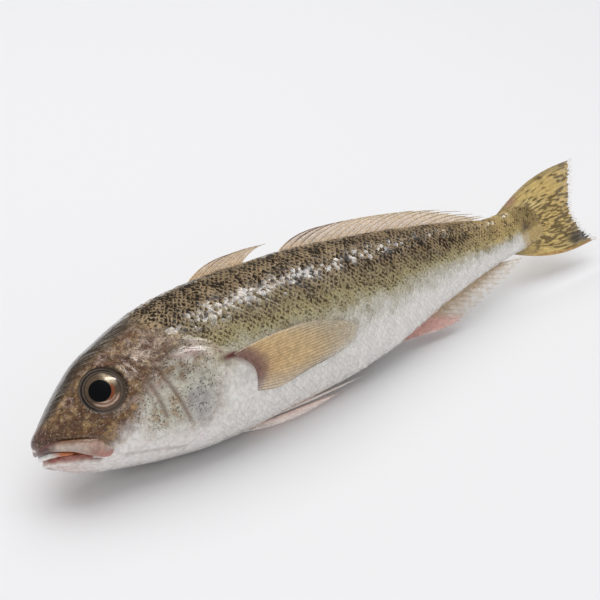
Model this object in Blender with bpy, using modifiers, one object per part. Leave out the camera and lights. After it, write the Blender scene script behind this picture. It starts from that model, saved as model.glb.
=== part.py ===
"""A whole raw fish of the rockcod kind, lying on its belly and leaning onto its right side.

The fish is modelled upright in its own frame: X runs from the snout to the tail, Z from
the belly to the back, and the left flank faces -Y. An empty then rolls it over and
stands it on the table, which is the plane Z = 0. The head, trunk, lips, gill covers and
all the fins are fused into one solid, and each eyeball sits in its socket as its own.
"""
import math

import bmesh
import bpy
from mathutils import Vector

MM = 0.001

# How the fish lies
ROLL = math.radians(35.7)
AXIS_HEIGHT = 25.8 * MM
FIN_CLEARANCE = 0.4 * MM
LEFT = -1
RIGHT = 1

# Trunk: distance from the snout, back, belly, half width and height of the widest point,
# in millimetres
STANDARD_LENGTH = 256.0
STATIONS = (
    (0.0, -2.4, -4.0, 0.8, -3.2),
    (0.8, -0.9, -6.8, 3.0, -4.0),
    (2.0, 0.4, -9.2, 4.8, -5.0),
    (4.0, 2.0, -11.8, 6.8, -5.8),
    (7.5, 5.0, -14.8, 9.4, -6.4),
    (12.0, 8.8, -17.6, 11.8, -6.6),
    (18.0, 13.6, -19.8, 14.0, -6.2),
    (26.0, 18.8, -21.8, 16.4, -5.2),
    (36.0, 22.7, -24.2, 18.9, -4.2),
    (48.0, 26.5, -26.6, 21.2, -3.4),
    (62.0, 29.5, -28.3, 22.9, -3.0),
    (80.0, 30.8, -28.8, 23.2, -2.4),
    (100.0, 30.6, -28.2, 22.3, -1.6),
    (125.0, 29.2, -27.6, 20.2, -0.8),
    (150.0, 26.4, -25.6, 16.9, -0.2),
    (172.0, 23.0, -21.6, 13.4, 0.2),
    (195.0, 18.8, -16.4, 9.7, 0.6),
    (215.0, 14.4, -12.8, 7.0, 0.5),
    (232.0, 10.6, -10.5, 4.9, 0.2),
    (243.0, 10.0, -9.4, 3.6, 0.2),
    (252.0, 10.6, -9.0, 2.3, 0.6),
    (STANDARD_LENGTH, 9.6, -8.2, 1.2, 0.6),
)
SECTION_POWER = 2.2
RINGS = 60
RING_POINTS = 36

# Mouth: a slit that slopes down from the lips, open widest at the front
MOUTH_FRONT = (-2.0, -5.4)
MOUTH_BACK = (14.0, -12.7)
MOUTH_GAPE = (2.2, 0.5)
MOUTH_REACH = 20.0

# Eyes
EYE_CENTRE = (27.4, 10.8, 6.2)
EYE_RADII = (7.6, 5.6, 7.6)
EYE_GAP = 0.3
EYE_TURN_FORWARD = math.radians(14.0)
EYE_TURN_UP = math.radians(16.0)

# Fins: how thick they are along a ray, how thin the web is beside it, how far a ray's
# tip stands past the web, and how far the base reaches into the trunk
RAY_THICKNESS = 1.3
WEB_SHARE = 0.55
TIP_SHARE = 0.5
RAY_TIP = 0.7
FIN_BURY = 2.5
TAIL_BURY = 2.0

# Lips: how much thinner each end is, and how fast it reaches its full radius
LIP_STEPS = 12
LIP_END = 0.45
LIP_TAPER = 5.0

CUT_DEPTH = 60.0
WELD = 0.01
SHARP_ANGLE = math.radians(35.0)

collections = {}


def clear_scene():
    for thing in list(bpy.data.objects):
        bpy.data.objects.remove(thing, do_unlink=True)


def make_collections():
    for name in ("raw_fish", "fused_pieces", "cutters"):
        collection = bpy.data.collections.new(name)
        bpy.context.scene.collection.children.link(collection)
        collections[name] = collection


def make_material(name, colour, roughness):
    material = bpy.data.materials.new(name)
    material.use_nodes = True
    shader = material.node_tree.nodes["Principled BSDF"]
    shader.inputs["Base Color"].default_value = (*colour, 1.0)
    shader.inputs["Roughness"].default_value = roughness
    shader.inputs["Metallic"].default_value = 0.0
    return material


def add_object(name, data, group, parent, material=None):
    thing = bpy.data.objects.new(name, data)
    thing.parent = parent
    collections[group].objects.link(thing)
    if material:
        data.materials.append(material)
    return thing


def blend(points, column, place):
    """Smooth curve through one column of a list whose first column is the place."""
    last = len(points) - 1
    left = 0
    while left < last - 1 and place > points[left + 1][0]:
        left += 1
    right = left + 1

    def slope(index):
        before = points[max(index - 1, 0)]
        after = points[min(index + 1, last)]
        return (after[column] - before[column]) / (after[0] - before[0])

    span = points[right][0] - points[left][0]
    share = (place - points[left][0]) / span
    start = points[left][column]
    end = points[right][column]
    square = share * share
    cube = square * share
    return (
        (2 * cube - 3 * square + 1) * start
        + (cube - 2 * square + share) * span * slope(left)
        + (3 * square - 2 * cube) * end
        + (cube - square) * span * slope(right)
    )


def section(x):
    """Back, belly, half width and widest height of the trunk at x millimetres."""
    return tuple(blend(STATIONS, column, x) for column in (1, 2, 3, 4))


def trunk_point(x, turn):
    """Point of the trunk, where turn runs round the section from the right side up."""
    back, belly, width, middle = section(x)
    across = math.cos(turn)
    upward = math.sin(turn)
    height = back - middle if upward > 0 else middle - belly
    power = 2.0 / SECTION_POWER
    y = width * math.copysign(abs(across) ** power, across)
    z = middle + height * math.copysign(abs(upward) ** power, upward)
    return Vector((x, y, z))


def skin_point(x, z, side, lift=0.0):
    """Point of one flank at height z, lifted off the skin along its outward normal."""
    back, belly, _, middle = section(x)
    height = back - middle if z > middle else middle - belly
    share = min(abs(z - middle) / height, 1.0) ** (SECTION_POWER / 2.0)
    turn = math.copysign(math.asin(share), z - middle)
    if side == LEFT:
        turn = math.pi - turn
    step = 0.01
    point = trunk_point(x, turn)
    along = trunk_point(x + step, turn) - trunk_point(x - step, turn)
    round_it = trunk_point(x, turn + step) - trunk_point(x, turn - step)
    normal = round_it.cross(along).normalized()
    return point + normal * lift


def clear_of_table(point, clearance):
    """Lift a point of the fish's frame, in metres, that would lie in the table."""
    height = AXIS_HEIGHT + point.z * math.cos(ROLL) - point.y * math.sin(ROLL)
    missing = max(clearance - height, 0.0)
    up = Vector((0.0, -math.sin(ROLL), math.cos(ROLL)))
    return point + up * missing


def make_trunk(parent, material):
    """A sphere drawn out along the stations, its rings closest together at the head."""
    shape = bmesh.new()
    bmesh.ops.create_uvsphere(shape, u_segments=RING_POINTS, v_segments=RINGS, radius=1.0)
    for vertex in shape.verts:
        polar = math.acos(max(-1.0, min(1.0, vertex.co.z)))
        along = polar / math.pi
        x = STANDARD_LENGTH * (1.0 - math.cos(along * math.pi / 2.0))
        turn = math.atan2(vertex.co.y, -vertex.co.x)
        point = trunk_point(x, turn)
        if along < 0.5 / RINGS or along > 1.0 - 0.5 / RINGS:
            point = Vector((x, 0.0, section(x)[3]))
        vertex.co = point * MM
    mesh = bpy.data.meshes.new("fish")
    shape.to_mesh(mesh)
    shape.free()
    return add_object("fish", mesh, "raw_fish", parent, material)


def make_sheet(name, place, columns, rows, parent, rays=True):
    """A fin: a grid laid out by place(along, outward), thick on each ray, given a wall."""
    shape = bmesh.new()
    bmesh.ops.create_grid(shape, x_segments=columns, y_segments=rows, size=1.0)
    shape.verts.ensure_lookup_table()
    weights = {}
    for vertex in shape.verts:
        along = (vertex.co.x + 1.0) / 2.0
        outward = (vertex.co.y + 1.0) / 2.0
        on_ray = round(along * columns) % 2 == 0 or not rays
        share = 1.0 if on_ray else WEB_SHARE
        weights[vertex.index] = share * (1.0 + (TIP_SHARE - 1.0) * outward)
        vertex.co = place(along, outward, on_ray) * MM
    mesh = bpy.data.meshes.new(name)
    shape.to_mesh(mesh)
    shape.free()
    sheet = add_object(name, mesh, "fused_pieces", parent)
    group = sheet.vertex_groups.new(name="thickness")
    for index, weight in weights.items():
        group.add([index], weight, "REPLACE")
    wall = sheet.modifiers.new("wall", "SOLIDIFY")
    wall.thickness = RAY_THICKNESS * MM
    wall.offset = 0.0
    wall.vertex_group = "thickness"
    return sheet


def make_upright_fin(name, base, edge, rays, rows, bury, parent, side_bend=0.0, bow=0.0):
    """A fin in the fish's middle plane, from its base to its outer edge.

    base and edge list (share along the fin, x, z). bury is how far the base reaches
    into the trunk, side_bend how far the edge leans over to the left, and bow how far
    the outermost rays arch away from the middle one.
    """
    def place(along, outward, on_ray):
        root = Vector((blend(base, 1, along), 0.0, blend(base, 2, along)))
        tip = Vector((blend(edge, 1, along), 0.0, blend(edge, 2, along)))
        direction = (tip - root).normalized()
        root -= direction * bury
        tip += direction * (RAY_TIP if on_ray else 0.0)
        point = root.lerp(tip, outward)
        point.y = -side_bend * outward * outward
        point.z += bow * math.sin(math.pi * outward) * (1.0 - 2.0 * along)
        return point

    return make_sheet(name, place, 2 * rays, rows, parent)


def make_middle_fins(parent):
    """First and second dorsal, anal and tail fins."""
    make_upright_fin(
        "first_dorsal_fin",
        ((0.0, 78.0, 30.6), (0.5, 91.0, 30.6), (1.0, 105.0, 30.4)),
        ((0.0, 84.0, 33.0), (0.3, 95.0, 34.4), (0.7, 108.0, 35.0), (1.0, 118.0, 34.0)),
        rays=6, rows=3, bury=FIN_BURY, parent=parent,
    )
    make_upright_fin(
        "second_dorsal_fin",
        ((0.0, 122.0, 29.4), (0.3, 148.0, 26.8), (0.7, 184.0, 21.0), (1.0, 213.0, 14.8)),
        (
            (0.0, 128.0, 32.6), (0.1, 137.0, 33.2), (0.35, 162.0, 31.6),
            (0.6, 186.0, 27.6), (0.8, 206.0, 22.8), (1.0, 233.0, 11.8),
        ),
        rays=24, rows=3, bury=FIN_BURY, parent=parent,
    )
    make_upright_fin(
        "anal_fin",
        ((0.0, 163.0, -23.3), (0.5, 198.0, -16.0), (1.0, 234.0, -10.4)),
        (
            (0.0, 179.0, -22.6), (0.15, 191.0, -26.2), (0.4, 207.0, -24.2),
            (0.7, 226.0, -20.2), (1.0, 249.0, -12.8),
        ),
        rays=16, rows=3, bury=FIN_BURY, parent=parent, side_bend=1.5,
    )
    make_upright_fin(
        "tail_fin",
        ((0.0, 244.0, 9.6), (0.3, 252.0, 5.0), (0.7, 252.0, -4.0), (1.0, 244.0, -8.6)),
        (
            (0.0, 301.0, 21.2), (0.2, 295.0, 11.0), (0.5, 288.6, -1.6),
            (0.8, 291.0, -12.0), (1.0, 296.0, -18.4),
        ),
        rays=12, rows=6, bury=TAIL_BURY, parent=parent, bow=4.0,
    )


def make_pectoral_fin(name, side, parent):
    """A broad fan folded back along the flank, from the fleshy base behind the gills."""
    base = ((0.0, 76.0, -0.6), (0.5, 79.5, -8.0), (1.0, 78.5, -15.6))
    edge = (
        (0.0, 113.0, -0.8), (0.25, 128.0, -5.6), (0.5, 131.6, -9.8),
        (0.75, 123.5, -14.4), (1.0, 99.5, -15.8),
    )
    crown = 1.3
    root_sink = -0.9
    full_lift = 1.7
    length = 50.0

    def place(along, outward, on_ray):
        reach = 1.0 if on_ray else 1.0 - RAY_TIP / length
        x = blend(base, 1, along) * (1.0 - outward) + blend(edge, 1, along) * outward
        z = blend(base, 2, along) * (1.0 - outward) + blend(edge, 2, along) * outward
        x = blend(base, 1, along) + (x - blend(base, 1, along)) * reach
        z += crown * math.sin(math.pi * outward) * (1.0 - 2.0 * along)
        lift = root_sink + (full_lift - root_sink) * min(outward * 3.0, 1.0)
        point = skin_point(x, z, side, lift) * MM
        return clear_of_table(point, FIN_CLEARANCE + RAY_THICKNESS * MM / 2.0) / MM

    return make_sheet(name, place, columns=18, rows=7, parent=parent)


def make_pelvic_fin(name, side, roots, tips, sag, parent):
    """A narrow folded fan that runs back under the belly and lies on the table.

    sag is how far its lower edge hangs down halfway along.
    """
    bow = 1.2

    def place(along, outward, on_ray):
        root = Vector(roots[0]).lerp(Vector(roots[1]), along)
        tip = Vector(tips[0]).lerp(Vector(tips[1]), along)
        point = root.lerp(tip, outward)
        arch = math.sin(math.pi * outward)
        point.y += side * bow * arch
        point.z -= sag * along * arch
        point = point * MM
        return clear_of_table(point, FIN_CLEARANCE + RAY_THICKNESS * MM / 2.0) / MM

    return make_sheet(name, place, columns=6, rows=9, parent=parent)


def make_paired_fins(parent):
    """Pectoral fins on the flanks and pelvic fins under the throat."""
    make_pectoral_fin("pectoral_fin_left", LEFT, parent)
    make_pectoral_fin("pectoral_fin_right", RIGHT, parent)
    make_pelvic_fin(
        "pelvic_fin_left", LEFT,
        roots=((67.0, -3.4, -27.4), (74.0, -6.5, -26.4)),
        tips=((141.0, -0.6, -29.5), (126.0, -4.4, -29.2)),
        sag=0.6, parent=parent,
    )
    make_pelvic_fin(
        "pelvic_fin_right", RIGHT,
        roots=((66.0, 0.0, -27.8), (73.0, -3.4, -27.6)),
        tips=((126.0, -2.2, -31.3), (108.0, -4.6, -32.2)),
        sag=1.5, parent=parent,
    )


def make_gill_cover(name, side, parent):
    """The bony plate over the gills, standing proud along its curved rear edge."""
    front_edge = ((0.0, 40.0, -21.5), (0.5, 47.0, -6.0), (1.0, 56.0, 9.0))
    rear_edge = (
        (0.0, 47.0, -24.6), (0.25, 56.0, -19.4), (0.5, 64.5, -11.0),
        (0.8, 69.6, -1.0), (1.0, 63.0, 7.6),
    )
    rear_rise = 0.5
    front_sink = -1.6

    def place(along, outward, on_ray):
        x = blend(front_edge, 1, along) * (1.0 - outward) + blend(rear_edge, 1, along) * outward
        z = blend(front_edge, 2, along) * (1.0 - outward) + blend(rear_edge, 2, along) * outward
        lift = front_sink + (rear_rise - front_sink) * outward
        return skin_point(x, z, side, lift)

    return make_sheet(name, place, columns=10, rows=5, parent=parent, rays=False)


def make_lip(name, side, path, radii, sink, parent):
    """A soft roll of flesh along the mouth, as a tapered tube sunk into the skin."""
    curve = bpy.data.curves.new(name, "CURVE")
    curve.dimensions = "3D"
    curve.bevel_depth = 1.0 * MM
    curve.bevel_resolution = 2
    curve.use_fill_caps = True
    spline = curve.splines.new("POLY")
    spline.points.add(LIP_STEPS)
    for index, node in enumerate(spline.points):
        share = index / LIP_STEPS
        radius = radii[0] + (radii[1] - radii[0]) * share
        ending = min(1.0, LIP_END + LIP_TAPER * min(share, 1.0 - share))
        place = skin_point(blend(path, 1, share), blend(path, 2, share), side, -sink * radius)
        node.co = (*(place * MM), 1.0)
        node.radius = radius * ending
    roll = add_object(name + "_curve", curve, "fused_pieces", parent)
    bpy.context.view_layer.update()
    evaluated = roll.evaluated_get(bpy.context.evaluated_depsgraph_get())
    mesh = bpy.data.meshes.new_from_object(evaluated)
    shape = bmesh.new()
    shape.from_mesh(mesh)
    bmesh.ops.remove_doubles(shape, verts=shape.verts, dist=WELD * MM)
    bmesh.ops.recalc_face_normals(shape, faces=shape.faces)
    shape.to_mesh(mesh)
    shape.free()
    mesh.name = name
    bpy.data.objects.remove(roll, do_unlink=True)
    return add_object(name, mesh, "fused_pieces", parent)


def make_head_relief(parent):
    """Gill covers, upper lips with the jaw bone behind them, and lower lips."""
    for side, hand in ((LEFT, "left"), (RIGHT, "right")):
        make_gill_cover("gill_cover_" + hand, side, parent)
        make_lip(
            "upper_lip_" + hand, side,
            ((0.0, 1.8, -3.6), (0.35, 8.0, -7.0), (0.65, 15.0, -10.2), (1.0, 23.0, -14.0)),
            radii=(1.4, 2.8), sink=0.35, parent=parent,
        )
        make_lip(
            "lower_lip_" + hand, side,
            ((0.0, 2.2, -8.8), (0.5, 8.0, -12.2), (1.0, 15.5, -15.4)),
            radii=(1.2, 1.5), sink=0.4, parent=parent,
        )


def fuse(fish):
    """One union of the trunk with everything in the fused pieces' collection."""
    join = fish.modifiers.new("fused", "BOOLEAN")
    join.operation = "UNION"
    join.operand_type = "COLLECTION"
    join.collection = collections["fused_pieces"]
    join.solver = "MANIFOLD"
    bpy.context.view_layer.update()
    evaluated = fish.evaluated_get(bpy.context.evaluated_depsgraph_get())
    mesh = bpy.data.meshes.new_from_object(evaluated)
    fish.modifiers.clear()
    fish.data = mesh
    for piece in list(collections["fused_pieces"].objects):
        bpy.data.objects.remove(piece, do_unlink=True)


def mark_cutter(cutter):
    cutter.hide_render = True
    cutter.display_type = "WIRE"


def cut(fish, cutter, name):
    difference = fish.modifiers.new(name, "BOOLEAN")
    difference.operation = "DIFFERENCE"
    difference.object = cutter
    difference.solver = "MANIFOLD"


def make_mouth_cutter(parent):
    """A wedge across the snout that leaves the mouth ajar."""
    front = Vector((MOUTH_FRONT[0], 0.0, MOUTH_FRONT[1]))
    back = Vector((MOUTH_BACK[0], 0.0, MOUTH_BACK[1]))
    shape = bmesh.new()
    bmesh.ops.create_cube(shape, size=2.0)
    for vertex in shape.verts:
        place = front if vertex.co.x < 0 else back
        gape = MOUTH_GAPE[0] if vertex.co.x < 0 else MOUTH_GAPE[1]
        height = gape / 2.0 * vertex.co.z
        vertex.co = (place + Vector((0.0, MOUTH_REACH * vertex.co.y, height))) * MM
    mesh = bpy.data.meshes.new("mouth_cutter")
    shape.to_mesh(mesh)
    shape.free()
    cutter = add_object("mouth_cutter", mesh, "cutters", parent)
    mark_cutter(cutter)
    return cutter


def make_table_cutter():
    """A block under the table's plane, which gives the belly its flat."""
    shape = bmesh.new()
    bmesh.ops.create_cube(shape, size=1.0)
    length = 2.0 * STANDARD_LENGTH * MM
    depth = CUT_DEPTH * MM
    for vertex in shape.verts:
        vertex.co = (vertex.co.x * length, vertex.co.y * length, vertex.co.z * depth)
    mesh = bpy.data.meshes.new("table_cutter")
    shape.to_mesh(mesh)
    shape.free()
    cutter = add_object("table_cutter", mesh, "cutters", None)
    cutter.location = (STANDARD_LENGTH / 2.0 * MM, 0.0, -depth / 2.0)
    mark_cutter(cutter)
    return cutter


def make_eyeball(name, side, spare, group, parent, material=None):
    """A flattened ball, turned to face out, forward and up, grown by the spare gap."""
    shape = bmesh.new()
    bmesh.ops.create_uvsphere(shape, u_segments=20, v_segments=14, radius=1.0)
    for vertex in shape.verts:
        vertex.co = (vertex.co.x, -vertex.co.z, vertex.co.y)
        for axis, radius in enumerate(EYE_RADII):
            vertex.co[axis] *= (radius + spare) * MM
    mesh = bpy.data.meshes.new(name)
    shape.to_mesh(mesh)
    shape.free()
    mesh.shade_smooth()
    ball = add_object(name, mesh, group, parent, material)
    ball.location = (EYE_CENTRE[0] * MM, side * EYE_CENTRE[1] * MM, EYE_CENTRE[2] * MM)
    ball.rotation_euler = (side * EYE_TURN_UP, 0.0, side * EYE_TURN_FORWARD)
    return ball


def make_eyes(fish, parent, material):
    for side, hand in ((LEFT, "left"), (RIGHT, "right")):
        make_eyeball("eye_" + hand, side, 0.0, "raw_fish", parent, material)
        socket = make_eyeball("socket_" + hand, side, EYE_GAP, "cutters", parent)
        mark_cutter(socket)
        cut(fish, socket, "socket_" + hand)


def finish_mesh(fish):
    """Apply the cuts and clear the hair-thin faces that they leave."""
    bpy.context.view_layer.update()
    evaluated = fish.evaluated_get(bpy.context.evaluated_depsgraph_get())
    mesh = bpy.data.meshes.new_from_object(evaluated)
    fish.modifiers.clear()
    fish.data = mesh
    shape = bmesh.new()
    shape.from_mesh(mesh)
    bmesh.ops.triangulate(shape, faces=shape.faces)
    shape.to_mesh(mesh)
    shape.free()
    mesh.shade_smooth()
    mesh.set_sharp_from_angle(angle=SHARP_ANGLE)


def centre_over_origin(lie):
    """Move the whole fish so that the middle of its box stands over the origin."""
    bpy.context.view_layer.update()
    low = Vector((math.inf, math.inf, 0.0))
    high = -low
    for piece in collections["raw_fish"].objects:
        for vertex in piece.data.vertices:
            place = piece.matrix_world @ vertex.co
            for axis in (0, 1):
                low[axis] = min(low[axis], place[axis])
                high[axis] = max(high[axis], place[axis])
    middle = (low + high) / 2.0
    lie.location.x -= middle.x
    lie.location.y -= middle.y


def main():
    clear_scene()
    make_collections()
    lie = bpy.data.objects.new("lie", None)
    collections["raw_fish"].objects.link(lie)
    lie.location = (0.0, 0.0, AXIS_HEIGHT)
    lie.rotation_euler = (-ROLL, 0.0, 0.0)
    skin = make_material("wet_skin", (0.42, 0.38, 0.28), 0.35)
    eye = make_material("eye", (0.05, 0.04, 0.04), 0.08)

    fish = make_trunk(lie, skin)
    make_middle_fins(lie)
    make_paired_fins(lie)
    make_head_relief(lie)
    fuse(fish)
    cut(fish, make_mouth_cutter(lie), "mouth")
    make_eyes(fish, lie, eye)
    cut(fish, make_table_cutter(), "belly_flat")
    finish_mesh(fish)
    collections["raw_fish"].objects.unlink(lie)
    collections["cutters"].objects.link(lie)
    centre_over_origin(lie)


main()
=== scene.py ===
"""Looks of a whole raw fish: wet skin, scales, lips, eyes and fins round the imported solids."""
import math

import bmesh
import bpy
import numpy as np
from mathutils import Matrix, Vector, noise


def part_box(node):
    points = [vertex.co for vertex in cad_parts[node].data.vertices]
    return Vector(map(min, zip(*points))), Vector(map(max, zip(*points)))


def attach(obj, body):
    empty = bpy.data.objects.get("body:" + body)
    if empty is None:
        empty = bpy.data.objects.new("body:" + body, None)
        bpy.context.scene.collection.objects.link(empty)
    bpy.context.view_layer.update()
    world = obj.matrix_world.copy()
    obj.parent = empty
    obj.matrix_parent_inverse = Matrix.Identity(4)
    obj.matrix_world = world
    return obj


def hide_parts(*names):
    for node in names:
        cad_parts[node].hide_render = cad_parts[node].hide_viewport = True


bl_info = {
    "name": "Whole Raw Fish",
    "version": (1, 0, 0),
    "blender": (4, 5, 0),
    "location": "View3D > Sidebar > Fish",
    "description": "Dresses a whole raw fish with skin, scales, eyes, lips and fins",
    "category": "Object",
}

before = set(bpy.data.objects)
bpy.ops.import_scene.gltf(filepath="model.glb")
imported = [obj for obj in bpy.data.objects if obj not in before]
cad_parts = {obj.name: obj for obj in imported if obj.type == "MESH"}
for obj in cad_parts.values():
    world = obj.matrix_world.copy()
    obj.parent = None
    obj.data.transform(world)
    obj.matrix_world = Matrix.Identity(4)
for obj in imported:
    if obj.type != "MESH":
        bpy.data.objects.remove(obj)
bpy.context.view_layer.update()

MM = 0.001
LEFT = -1
RIGHT = 1
BODY = "root"
FISH = "fish"

# How the fish lies: rolled onto its right side, as its solid does
ROLL = math.radians(35.7)

# Trunk: distance from the snout, back, belly, half width and height of the widest point,
# in millimetres
STANDARD_LENGTH = 256.0
SKIN_END = 267.0
STATIONS = np.array((
    (0.0, -2.4, -4.0, 0.8, -3.2),
    (0.8, -0.9, -6.8, 3.0, -4.0),
    (2.0, 0.4, -9.2, 4.8, -5.0),
    (4.0, 2.0, -11.8, 6.8, -5.8),
    (7.5, 5.0, -14.8, 9.4, -6.4),
    (12.0, 8.8, -17.6, 11.8, -6.6),
    (18.0, 13.6, -19.8, 14.0, -6.2),
    (26.0, 18.8, -21.8, 16.4, -5.2),
    (36.0, 22.7, -24.2, 18.9, -4.2),
    (48.0, 26.5, -26.6, 21.2, -3.4),
    (62.0, 29.5, -28.3, 22.9, -3.0),
    (80.0, 30.8, -28.8, 23.2, -2.4),
    (100.0, 30.6, -28.2, 22.3, -1.6),
    (125.0, 29.2, -27.6, 20.2, -0.8),
    (150.0, 26.4, -25.6, 16.9, -0.2),
    (172.0, 23.0, -21.6, 13.4, 0.2),
    (195.0, 18.8, -16.4, 9.7, 0.6),
    (215.0, 14.4, -12.8, 7.0, 0.5),
    (232.0, 10.6, -10.5, 4.9, 0.2),
    (243.0, 10.0, -9.4, 3.6, 0.2),
    (252.0, 10.6, -9.0, 2.3, 0.6),
    (STANDARD_LENGTH, 9.6, -8.2, 1.35, 0.6),
    (262.0, 8.8, -7.4, 0.8, 0.7),
    (SKIN_END, 7.0, -5.8, 0.25, 0.8),
))
SECTION_POWER = 2.2
HALF_COLUMNS = 124
SCALES_FROM = 47.0
SCALES_TO = 263.5

EYE_CENTRE = (27.4, 10.8, 6.2)
EYE_SPOT = (25.8, 6.1)
EYE_TURN_FORWARD = math.radians(14.0)
EYE_TURN_UP = math.radians(16.0)

# Head features as (distance from the snout, height) on the flank
GILL_EDGE = ((47.0, -24.6), (56.0, -19.4), (64.5, -11.0), (69.6, -1.0), (66.5, 5.0), (58.0, 10.5))
CREASES = (
    (((36.7, 13.0), (39.0, 6.5), (40.6, -0.8), (41.8, -11.0)), 0.75, 0.50),
    (((44.3, 5.9), (46.0, 0.5), (47.6, -5.5), (49.8, -15.0)), 0.75, 0.50),
    (((37.0, 2.0), (38.6, -3.0), (38.4, -8.0)), 0.6, 0.22),
    (((26.0, -17.6), (36.0, -20.4), (48.0, -23.4)), 0.7, 0.25),
    (((55.0, -19.6), (60.0, -15.0), (64.0, -8.0)), 0.8, 0.22),
)
GILL_FOLDS = (
    (((60.0, 10.0), (65.0, 7.6), (69.0, 3.4), (70.6, -0.6)), 0.45, 0.22),
    (((53.0, 6.8), (57.0, 6.9), (61.5, 5.6), (64.6, 2.8)), 0.40, 0.30),
)
# Places round the root of the pectoral fin, as (x, z) on a flank
FIN_SHOULDER = (75.5, -8.0)
FIN_FLESH = (75.0, -8.5)
FIN_SLOT_RED_AND_SHADE = (72.5, -0.2)
SCALE_SHOULDER = (76.5, -8.0)
# Distances from the middle of an eye over which the painted shade of its dark socket fades out
EYE_SOCKET_SHADE_EDGE = (7.9, 8.8)
FIN_ROOT_BAND = ((75.0, -1.6), (78.0, -4.0), (80.2, -7.0), (81.0, -11.0))
JAW_SLIT = ((4.2, -3.4), (7.6, -4.8), (12.3, -6.7), (17.7, -9.1), (21.4, -11.1))
NOSTRIL = (14.1, 6.4)
PORES = ((31.5, 16.6), (11.4, 5.0), (21.5, 14.4), (17.5, 1.2), (37.5, 12.4), (11.0, 3.2), (9.0, 1.2))
MOUTH_LINE = ((0.0, -7.2), (4.0, -8.7), (9.0, -10.8), (14.0, -13.0))
UPPER_LIP = ((0.0, -5.2), (3.0, -5.2), (8.0, -6.9), (12.0, -8.8), (16.0, -10.9), (22.2, -13.4))
INNER_LIP = ((0.0, -7.2), (3.0, -7.8), (6.0, -8.8), (9.0, -10.0))
LOWER_LIP = ((0.0, -9.0), (4.0, -10.3), (8.0, -11.9), (12.0, -13.4), (17.6, -15.6))

# Fins as their solids have them: base and edge as (share along the fin, x, z)
FIRST_DORSAL = (
    ((0.0, 78.0), (0.5, 90.0), (1.0, 103.0)),
    ((0.0, 104.0), (0.5, 112.0), (1.0, 119.0)),
    ((78.0, 0.0), (84.0, 2.4), (95.0, 4.0), (108.0, 5.0), (119.0, 4.6)),
)
SECOND_DORSAL = (
    ((0.0, 121.0), (0.3, 146.0), (0.7, 182.0), (1.0, 213.0)),
    ((0.0, 154.0), (0.3, 176.0), (0.7, 210.0), (1.0, 234.0)),
    (
        (121.0, 0.0), (128.0, 3.6), (137.0, 5.2), (162.0, 6.9),
        (186.0, 7.2), (206.0, 6.4), (220.0, 3.8), (234.0, 1.2),
    ),
)
ANAL = (
    ((0.0, 163.0, -23.3), (0.5, 198.0, -16.0), (1.0, 234.0, -10.4)),
    (
        (0.0, 182.0, -25.6), (0.15, 193.0, -26.4), (0.4, 207.0, -24.0),
        (0.7, 226.0, -19.2), (1.0, 248.0, -12.6),
    ),
)
TAIL = (
    ((0.0, 244.0, 9.6), (0.3, 252.0, 5.0), (0.7, 252.0, -4.0), (1.0, 244.0, -8.6)),
    (
        (0.0, 301.0, 21.2), (0.2, 295.0, 11.0), (0.5, 288.6, -1.6),
        (0.8, 291.0, -12.0), (1.0, 296.0, -18.4),
    ),
)
PECTORAL = (
    ((0.0, 73.6, -0.2), (0.5, 79.5, -8.0), (1.0, 78.5, -15.6)),
    (
        (0.0, 113.0, -0.8), (0.25, 128.0, -5.6), (0.5, 131.6, -9.8),
        (0.75, 123.5, -14.4), (1.0, 99.5, -15.8),
    ),
)
PELVIC_LEFT = (((67.0, -3.4, -27.4), (74.0, -6.5, -26.4)), ((141.0, -0.6, -29.5), (126.0, -4.4, -29.2)))
PELVIC_RIGHT = (((66.0, 0.0, -27.8), (73.0, -3.4, -27.6)), ((126.0, -2.2, -31.3), (108.0, -4.6, -32.2)))

# Camera, in metres and degrees
CAMERA_PLACE = (-0.30224, -0.31700, 0.26760)
CAMERA_AZIMUTH = -40.6
CAMERA_ELEVATION = 28.92
CAMERA_LENS = 73.4

# Strength of the room's light, and of its reflections
ROOM_LIGHT = 0.50
ROOM_GLOSS = 0.11


def colour_setting(name, description, default):
    return bpy.props.FloatVectorProperty(
        name=name, description=description, subtype="COLOR", size=3, min=0.0, max=1.0, default=default
    )


def length_setting(name, description, default):
    return bpy.props.FloatProperty(
        name=name, description=description, subtype="DISTANCE", unit="LENGTH", default=default
    )


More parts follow.
